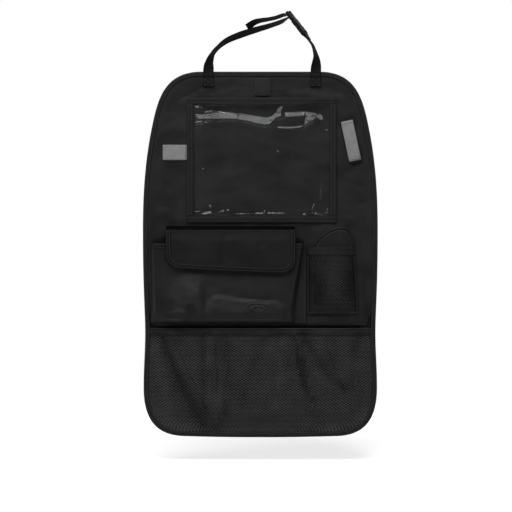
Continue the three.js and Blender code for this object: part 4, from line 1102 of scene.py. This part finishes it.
def bandSeam(line, v, spot):
    return [spot(u, v, bandRest - net["hemThickness"] * 1.1 - 0.25) for u in line]


# The cord in a band's upper edge. Its lighter colour is a painted highlight along that edge.
def cordPiece(name, line, spot):
    rings = []
    for k, u in enumerate(line):
        x, y, z = spot(u, 1.0, bandRest - net["hemThickness"] * 0.5)
        wave = 0.18 * math.sin(k * 1.57)
        rings.append([(x, y - 1.15 * math.cos(a) - wave, z - 0.1 + 0.85 * math.sin(a))
                      for a in (j * math.pi / 3 for j in range(6))])
    return loftPiece(name, rings, cordHighlightFinish)


# Front faces where the test holds get the near-black finish: painted shade where the cloth lies in shadow.
def paintShadeBehind(piece, test):
    piece.data.materials.append(paintedShadeFinish)
    for polygon in piece.data.polygons:
        x, _, z = polygon.center / mm
        if polygon.normal.y < -0.02 and test(x, z):
            polygon.material_index = 1


# Bottle pocket: a soft round-topped backing, and a net in front of it
bottle = {
    "left": 88.7, "topWidth": 89.3, "bottomWidth": 97, "mouthDrop": 335, "bottomDrop": 460, "depth": 20,
    "backLeft": 101.5, "backWidth": 75.2, "shoulderDrop": 333, "apexDrop": 296, "apexAcross": 53,
    "backThickness": 1.5, "backCrown": 1.6, "foot": 18, "inside": 5, "columns": 90, "margins": (1.5, 1, 3),
    "folds": [((118, -352), (112, -446), 5, 1.6), ((146, -345), (158, -450), 6, -1.4)],
    "slack": 8, "yarnShare": 0.66,
    "edgeTape": ((-1.6, 0), (-1.5, 0.8), (0, 1.15), (3.0, 0.9), (3.4, 0), (0, -0.5)),  # inward, thickness
}


def archLoop():
    left, right = bottle["backLeft"], bottle["backLeft"] + bottle["backWidth"]
    low, mouth, shoulder = bottle["foot"] - bottle["bottomDrop"], -bottle["mouthDrop"], -bottle["shoulderDrop"]
    apex = (left + bottle["apexAcross"], -bottle["apexDrop"])
    line = [(left, low), (right - bottle["inside"], low), (right - bottle["inside"], mouth), (right, shoulder)]
    line += bezier((right, shoulder), (right, shoulder + 20), (between(apex[0], right, 0.8), apex[1]), apex, 16)
    line += bezier(apex, (between(apex[0], left, 0.5), apex[1]), (left + 3, shoulder + 16), (left, shoulder), 16)
    line.append((left, low))
    return alongLine([(x, 0, z) for x, z in line], 3)[:-1]


def makeBacking():
    loop = archLoop()
    cloth = patchPiece("bottleBacking", loop, onPanel, bottle["backThickness"], bottle["backCrown"], panelFinish,
                       ["bottle_pocket_back"], lambda x, y, z: (x, y - panelLift(x, z), z), 14)
    # The backing's face below the mouth gets painted shade, for the dark inside behind the net.
    paintShadeBehind(cloth, lambda x, z: z < -bottle["mouthDrop"] - 2)
    # A rolled edge with a seam inside it
    middle = sum(loop, Vector((0, 0, 0))) / len(loop)
    shown = [p for p in loop if p.z > -bottle["mouthDrop"] - 6]
    rings = []
    for i, p in enumerate(shown):
        along = (shown[min(i + 1, len(shown) - 1)] - shown[max(i - 1, 0)]).normalized()
        inward = Vector((-along.z, 0, along.x))
        centre = p + inward * 1.3
        centre.y = onPanel - 2.1
        rings.append([tuple(centre + inward * (1.9 * math.cos(a)) + Vector((0, -0.75 * math.sin(a), 0)))
                      for a in (k * math.pi / 4 for k in range(8))])
    roll = loftPiece("bottleBackingRoll", rings, panelFinish)
    seam = [[between(middle.x, p.x, 0.87), onPanel - 3.0, between(middle.z, p.z, 0.93)] for p in shown]
    stitches = stitchPiece("bottleBackingStitches", [seam])


def bottleSpot(u, v, out):
    u, v = limited(u), limited(v)
    x = bottle["left"] + u * between(bottle["bottomWidth"], bottle["topWidth"], v)
    z = between(-bottle["bottomDrop"], -bottle["mouthDrop"], v)
    lift = (1 - abs(2 * u - 1) ** 2.5) * quarterRound(v / 0.3)
    folds = creases(x, z, bottle["folds"]) + 1.2 * ripple(x, z, 26, 31.0)
    inside = smooth(min(u, 1 - u) / 0.12) * smooth(v / 0.12)
    return x, onPanel - bottle["depth"] * lift - folds * inside - panelLift(x, z) + out, z


def bottleOpening(u, v):
    pulled = 0.22 * abs(2 * u - 1.08) ** 1.1 + 0.16 * hill(u - 0.14, 0.24) * hill(v - 0.3, 0.24)
    pulled += 0.12 * hill(u - 0.9, 0.2) * hill(v - 0.4, 0.25)
    return min(0.9, 0.66 + pulled + 0.06 * ripple(u * 100, v * 120, 24, 6.1))


# Narrow tape that sews the net's three sides down
def bottleBorder():
    edge = [(0.012, 1 - share) for share in shares(40)] + [(share, 0.012) for share in shares(40)[1:-1]]
    edge += [(0.988, share) for share in shares(40)]
    rings = []
    for i, (u, v) in enumerate(edge):
        x, y, z = bottleSpot(u, v, 0)
        ahead, behind = edge[min(i + 1, len(edge) - 1)], edge[max(i - 1, 0)]
        along = (Vector(bottleSpot(*ahead, 0)) - Vector(bottleSpot(*behind, 0))).normalized()
        inward = Vector((-along.z, 0, along.x))
        inward = inward.normalized() if inward.length > 0.1 else Vector((1, 0, 0))
        base = Vector((x, min(y, onPanel) - 0.9, z))
        rings.append([tuple(base + inward * across - Vector((0, thick, 0)))
                      for across, thick in bottle["edgeTape"]])
    return loftPiece("bottleNetTape", rings, tapeFinish)


def makeBottlePocket():
    height = bottle["bottomDrop"] - bottle["mouthDrop"]
    low = 1 - net["hem"] / height
    line = shares(bottle["columns"])
    lattice = netPiece("bottleNet", bottle["bottomWidth"], height, bottle["margins"], bottleSpot, bottleNetShadedFinish,
                       ["bottle_pocket_mesh"], bottleOpening)
    band = bandPiece("bottleBand", line, low, bottleSpot, ["bottle_pocket_hem"])
    cord = cordPiece("bottleBandCord", line, bottleSpot)
    border = bottleBorder()
    seamLine = [between(0.02, 0.98, share) for share in shares(50)]
    seams = stitchPiece("bottleStitches", [bandSeam(seamLine, v, bottleSpot) for v in (low + 0.02, 0.95)])


makeBacking()
makeBottlePocket()

# Net pocket across the foot
footPocket = {
    "mouthDrop": 487, "depth": 12, "ramp": 42, "edgeInset": 1.6, "flat": 16, "lowInset": 1.9, "margins": (2, 2, 3),
    "columns": 300, "endInset": 8, "foldDepth": 1.9, "slack": 6, "yarnShare": 0.72,
    "hole": 0.74, "smallest": 0.56, "largest": 0.88,
}
footFolds = [  # from, to, width, height: pulls from the band's left end, and hanging folds
    ((-196, -506), (-118, -682), 13, -7.0), ((-168, -500), (-82, -680), 12, 4.0),
    ((-104, -492), (-96, -600), 9, -4.0), ((-88, -492), (-76, -676), 9, 4.2),
    ((-70, -510), (-58, -676), 9, -3.4), ((66, -492), (72, -566), 7, 6.2), ((80, -494), (104, -664), 11, -5.6),
    ((118, -500), (170, -640), 16, 3.6), ((10, -500), (-22, -670), 18, 2.6), ((40, -500), (26, -660), 12, -2.6),
    ((190, -500), (176, -620), 12, -2.2), ((-206, -560), (-196, -640), 8, 2.0),
]
footPulls = [  # lines of (x, z, half width), with how far the holes open there
    ([(-186, -504, 6), (-167, -551, 9), (-143, -599, 13), (-117, -646, 14), (-108, -668, 9)], 0.15),
    ([(-200, -520, 8), (-185, -590, 11), (-170, -640, 12)], -0.07),
    ([(-195, -650, 16), (-150, -684, 16)], -0.12), ([(-107, -500, 4), (-110, -570, 5), (-105, -650, 6)], 0.08),
    ([(-95, -500, 4), (-98, -555, 4)], -0.08), ([(-77, -508, 3), (-74, -580, 4), (-77, -640, 4)], -0.1),
    ([(-64, -515, 6), (-62, -600, 8), (-64, -650, 7)], 0.08),
    ([(9, -500, 8), (-20, -570, 10), (-38, -630, 9)], 0.06),
    ([(20, -512, 9), (40, -590, 11), (30, -640, 10)], -0.06),
    ([(61, -502, 4), (75, -551, 5), (85, -600, 6), (104, -627, 6)], 0.12),
    ([(74, -502, 4), (73, -534, 4)], -0.12), ([(90, -512, 7), (132, -580, 10), (160, -600, 8)], 0.1),
    ([(104, -570, 8), (132, -592, 8)], -0.07), ([(189, -502, 8), (180, -526, 8)], 0.09),
    ([(124, -684, 12), (190, -650, 17)], -0.12), ([(-40, -676, 10), (60, -680, 9)], -0.04),
]
footTable = widthTable(footPocket["edgeInset"])
footTop = -footPocket["mouthDrop"]
footLow = -panel["bottomEdgeDrop"] + footPocket["lowInset"]


def footPlace(u, v):
    z = between(footLow, footTop, v)
    return (2 * u - 1) * halfWidth(footTable, z), z


def footSpot(u, v, out):
    u, v = limited(u), limited(v)
    x, z = footPlace(u, v)
    inside = rimDistance(x, z)
    lift = footPocket["depth"] * smooth((inside - footPocket["flat"]) / footPocket["ramp"])
    soft = smooth((inside - 14) / 30) * smooth((1 - v) / 0.10 + 0.12)
    rises = creases(x, z, footFolds) + 2.0 * ripple(x, z, 58, 40.0) + 0.8 * ripple(x, z, 20, 41.0)
    return x, onPanel - max(0.4 * smooth((inside - 12) / 8), lift + footPocket["foldDepth"] * rises * soft) + out, z


def footOpening(u, v):
    x, z = footPlace(u, v)
    hole = footPocket["hole"] + 0.05 * ripple(x, z, 30, 14.0)
    for line, wider in footPulls:
        near = 9.0
        for (ax, az, aw), (bx, bz, bw) in zip(line, line[1:]):
            dx, dz = bx - ax, bz - az
            share = limited(((x - ax) * dx + (z - az) * dz) / (dx * dx + dz * dz))
            near = min(near, math.hypot(x - ax - share * dx, z - az - share * dz) / between(aw, bw, share))
        hole += wider * hill(near, 1.0)
    return limited(hole, footPocket["smallest"], footPocket["largest"])


def makeFootPocket():
    height = footTop - footLow
    width = 2 * (panel["hip"] / 2 - footPocket["edgeInset"])
    inset = footPocket["endInset"] / width
    line, seamLine = ([between(inset, 1 - inset, share) for share in shares(count)]
                      for count in (footPocket["columns"], footPocket["columns"] // 2))
    lattice = netPiece("footNet", width, height, footPocket["margins"], footSpot, netFinish, ["mesh_pocket_net"],
                       footOpening)
    band = bandPiece("footBand", line, 1 - net["hem"] / height, footSpot, ["mesh_pocket_hem"])
    cord = cordPiece("footBandCord", line, footSpot)
    seams = stitchPiece("footStitches", [bandSeam(seamLine, 0.97, footSpot)])
    # The panel's face behind the net and just above the band gets painted shade, curving up at both ends.
    paintShadeBehind(panelPiece, lambda x, z: z < footTop + 5 + 22 * smooth((20 - rimDistance(x, z)) / 9))


makeFootPocket()
print("bottle pocket and foot pocket made")

# Headrest straps and the side release buckle
webbing = {
    "width": 20, "thickness": 1.2, "sewn": 29, "leftX": -98.4, "rightX": 105.3,
    # Points of the free lengths: x, y, z and a roll, which is 0 face on and 90 edge on. The points
    # at the buckle's bars are added later, and so is the first, where a strap leaves the panel.
    "leaves": (-5.2, 3, 0),  # y, z and roll
    "leftRise": [
        (-96.8, -7.5, 17, 44), (-90.5, -11.5, 32, 71), (-80, -12, 44.5, 75), (-64, -12, 57, 67),
        (-38.6, -12, 68, 61), (-10, -12.4, 77.3, 65), (18, -13, 85.4, 73), (40, -13.2, 93.2, 76)],
    "tail": [
        (40, -13.2, 104.4, 101), (29, -14, 100.4, 100), (14, -15.2, 97, 101), (0, -16.2, 94.6, 105),
        (-12, -16.8, 90.6, 114), (-25, -17, 81, 126)],
    "rightRise": [(106, -7, 16, 31), (105, -10.5, 29, 59), (102, -13, 40, 68), (99, -14.5, 48, 70)],
    "leftSteps": 130, "tailSteps": 80, "rightSteps": 70, "stitchInset": 2.2,
    # shares of the half width and the half thickness
    "profile": ((1, 0.35), (0.97, 0.95), (0.86, 1.05), (0.8, 0.82), (0.3, 1.0)),
}
buckle = {
    "place": (68, -15, 90), "lean": 38, "turn": 72, "socketLength": 35.5, "plugLength": 19.2, "bar": 2.8, "slot": 3.2,
}


def buckleFrame():
    lean, turn = math.radians(buckle["lean"]), math.radians(buckle["turn"])
    along = Vector((-math.sin(lean), 0, math.cos(lean)))
    wide = Vector((math.cos(lean), 0, math.sin(lean))) * math.cos(turn) + Vector((0, math.sin(turn), 0))
    return along, wide, wide.cross(along)


buckleAlong, buckleWide, buckleOut = buckleFrame()
socketEnd = -(buckle["socketLength"] + buckle["plugLength"] + gap) / 2
plugEnd = socketEnd + buckle["socketLength"] + gap + buckle["plugLength"]
turnRadius = gap + webbing["thickness"] / 2


def threaded(y, z):
    return Vector(buckle["place"]) + buckleAlong * y + buckleOut * z, buckleWide


def roundBar(y, z, start, end):
    made = []
    for share in shares(8):
        angle = math.radians(between(start, end, share))
        made.append(threaded(y + turnRadius * math.cos(angle), z + turnRadius * math.sin(angle)))
    return made


# The way of free webbing: an even curve through its points
def freeWebbing(points, steps):
    spots = [Vector(p[:3]) for p in points]
    ends = [spots[0] * 2 - spots[1]] + spots + [spots[-1] * 2 - spots[-2]]

    def at(share):
        place = share * (len(spots) - 1)
        k = min(int(place), len(spots) - 2)
        t = place - k
        a, b, c, d = ends[k:k + 4]
        gaps = [max(1e-4, math.sqrt((q - p).length)) for p, q in ((a, b), (b, c), (c, d))]
        m1 = ((b - a) / gaps[0] - (c - a) / (gaps[0] + gaps[1]) + (c - b) / gaps[1]) * gaps[1]
        m2 = ((c - b) / gaps[1] - (d - b) / (gaps[1] + gaps[2]) + (d - c) / gaps[2]) * gaps[1]
        s2, s3 = t * t, t * t * t
        return b * (2 * s3 - 3 * s2 + 1) + m1 * (s3 - 2 * s2 + t) + c * (3 * s2 - 2 * s3) + m2 * (s3 - s2), k, t

    made = []
    for share in shares(steps):
        spot, k, t = at(share)
        ahead, behind = at(min(1, share + 0.004))[0], at(max(0, share - 0.004))[0]
        roll = math.radians(between(points[k][3], points[k + 1][3], t))
        along = (ahead - behind).normalized()
        flat = Vector((0, 1, 0)).cross(along).normalized()
        made.append((spot, flat * math.cos(roll) + along.cross(flat) * math.sin(roll)))
    return made


def sewnEnd(x):
    half = webbing["thickness"] / 2
    low, high = onPanel - half, onPanel - binding["thickness"] - gap - half
    made = [(low, -webbing["sewn"]), (low, -webbing["sewn"] + 5), (low, -20), (low, -15), (low - 0.1, -13.4),
            (between(low, high, 0.5), -12), (high, -10.4), (high, -6), (high, -1)]
    return [(Vector((x, y, z)), Vector((1, 0, 0))) for y, z in made]


# Webbing: a flat woven band with two selvedges and a ribbed face.
def webbingPiece(name, stations, instead):
    half, thick = webbing["width"] / 2, webbing["thickness"] / 2
    section = [(half * across, thick * deep) for across, deep in webbing["profile"]]
    section += [(-a, b) for a, b in reversed(section)]
    section += [(a, -b) for a, b in reversed(section)]
    last = stations[0][1]
    rings = []
    for i, (spot, wide) in enumerate(stations):
        along = (stations[min(i + 1, len(stations) - 1)][0] - stations[max(i - 1, 0)][0]).normalized()
        side = (wide - along * wide.dot(along)).normalized()
        if side.dot(last) < 0:
            side.negate()
        last = side
        out = along.cross(side)
        rings.append([tuple(spot + side * a + out * b) for a, b in section])
    loftPiece(name, rings, webbingFinish, instead=[instead])


# A sewn box with a cross in it, and a row over the panel's edge
def boxStitch(name, x):
    y = onPanel - webbing["thickness"] - 0.1
    half = webbing["width"] / 2 - webbing["stitchInset"]
    left, right, low, high = x - half, x + half, -webbing["sewn"] + 2.5, -13.8
    corners = [(left, y, low), (right, y, low), (right, y, high), (left, y, high), (left, y, low)]
    edgeRow = [(left, y - 1.4, -5), (right, y - 1.4, -5)]
    stitchPiece(name, [corners, [corners[0], corners[2]], [corners[1], corners[3]], edgeRow])


def makeLeftStrap():
    bar, half = buckle["bar"], buckle["bar"] / 2
    midLow = plugEnd - bar - buckle["slot"] - bar
    midHigh = midLow + bar
    up, down = threaded(midLow - turnRadius, -7)[0], threaded(midHigh + turnRadius + 4, -8)[0]
    first = (webbing["leftX"], *webbing["leaves"])
    stations = sewnEnd(webbing["leftX"])
    stations += freeWebbing([first, *webbing["leftRise"], (*up, 90)], webbing["leftSteps"])
    stations.append(threaded(midLow - turnRadius, -3.6))
    stations += roundBar(midLow, half, 180, 90) + roundBar(midHigh, half, 90, 0)
    stations += [threaded(midHigh + turnRadius, -half), threaded(midHigh + turnRadius + 1.2, -4)]
    stations += freeWebbing([(*down, 96), *webbing["tail"]], webbing["tailSteps"])
    webbingPiece("strapLeft", stations, "strap_left")
    boxStitch("strapLeftStitches", webbing["leftX"])


def makeRightStrap():
    layer = (webbing["thickness"] + gap) / 2
    barTop, half = socketEnd + buckle["bar"], buckle["bar"] / 2
    faceUp = half + turnRadius
    start = threaded(socketEnd - 16, -layer)[0]
    first = (webbing["rightX"], *webbing["leaves"])
    way = ((13, layer), (10, layer), (7, 1.0), (4, 1.9), (0.4, faceUp))  # short of the socket's end, off its middle
    stations = sewnEnd(webbing["rightX"])
    stations += freeWebbing([first, *webbing["rightRise"], (*start, 72)], webbing["rightSteps"])
    stations += [threaded(socketEnd - y, -z) for y, z in way[1:]]
    stations += roundBar(barTop, -half, -90, 0) + roundBar(barTop, half, 0, 90)
    stations += [threaded(socketEnd - y, z) for y, z in reversed(way)]
    webbingPiece("strapRight", stations, "strap_right")
    boxStitch("strapRightStitches", webbing["rightX"])


makeLeftStrap()
makeRightStrap()
dressNodes(("buckle_plug", "buckle_socket"), plasticFinish)
print("straps and buckle made")
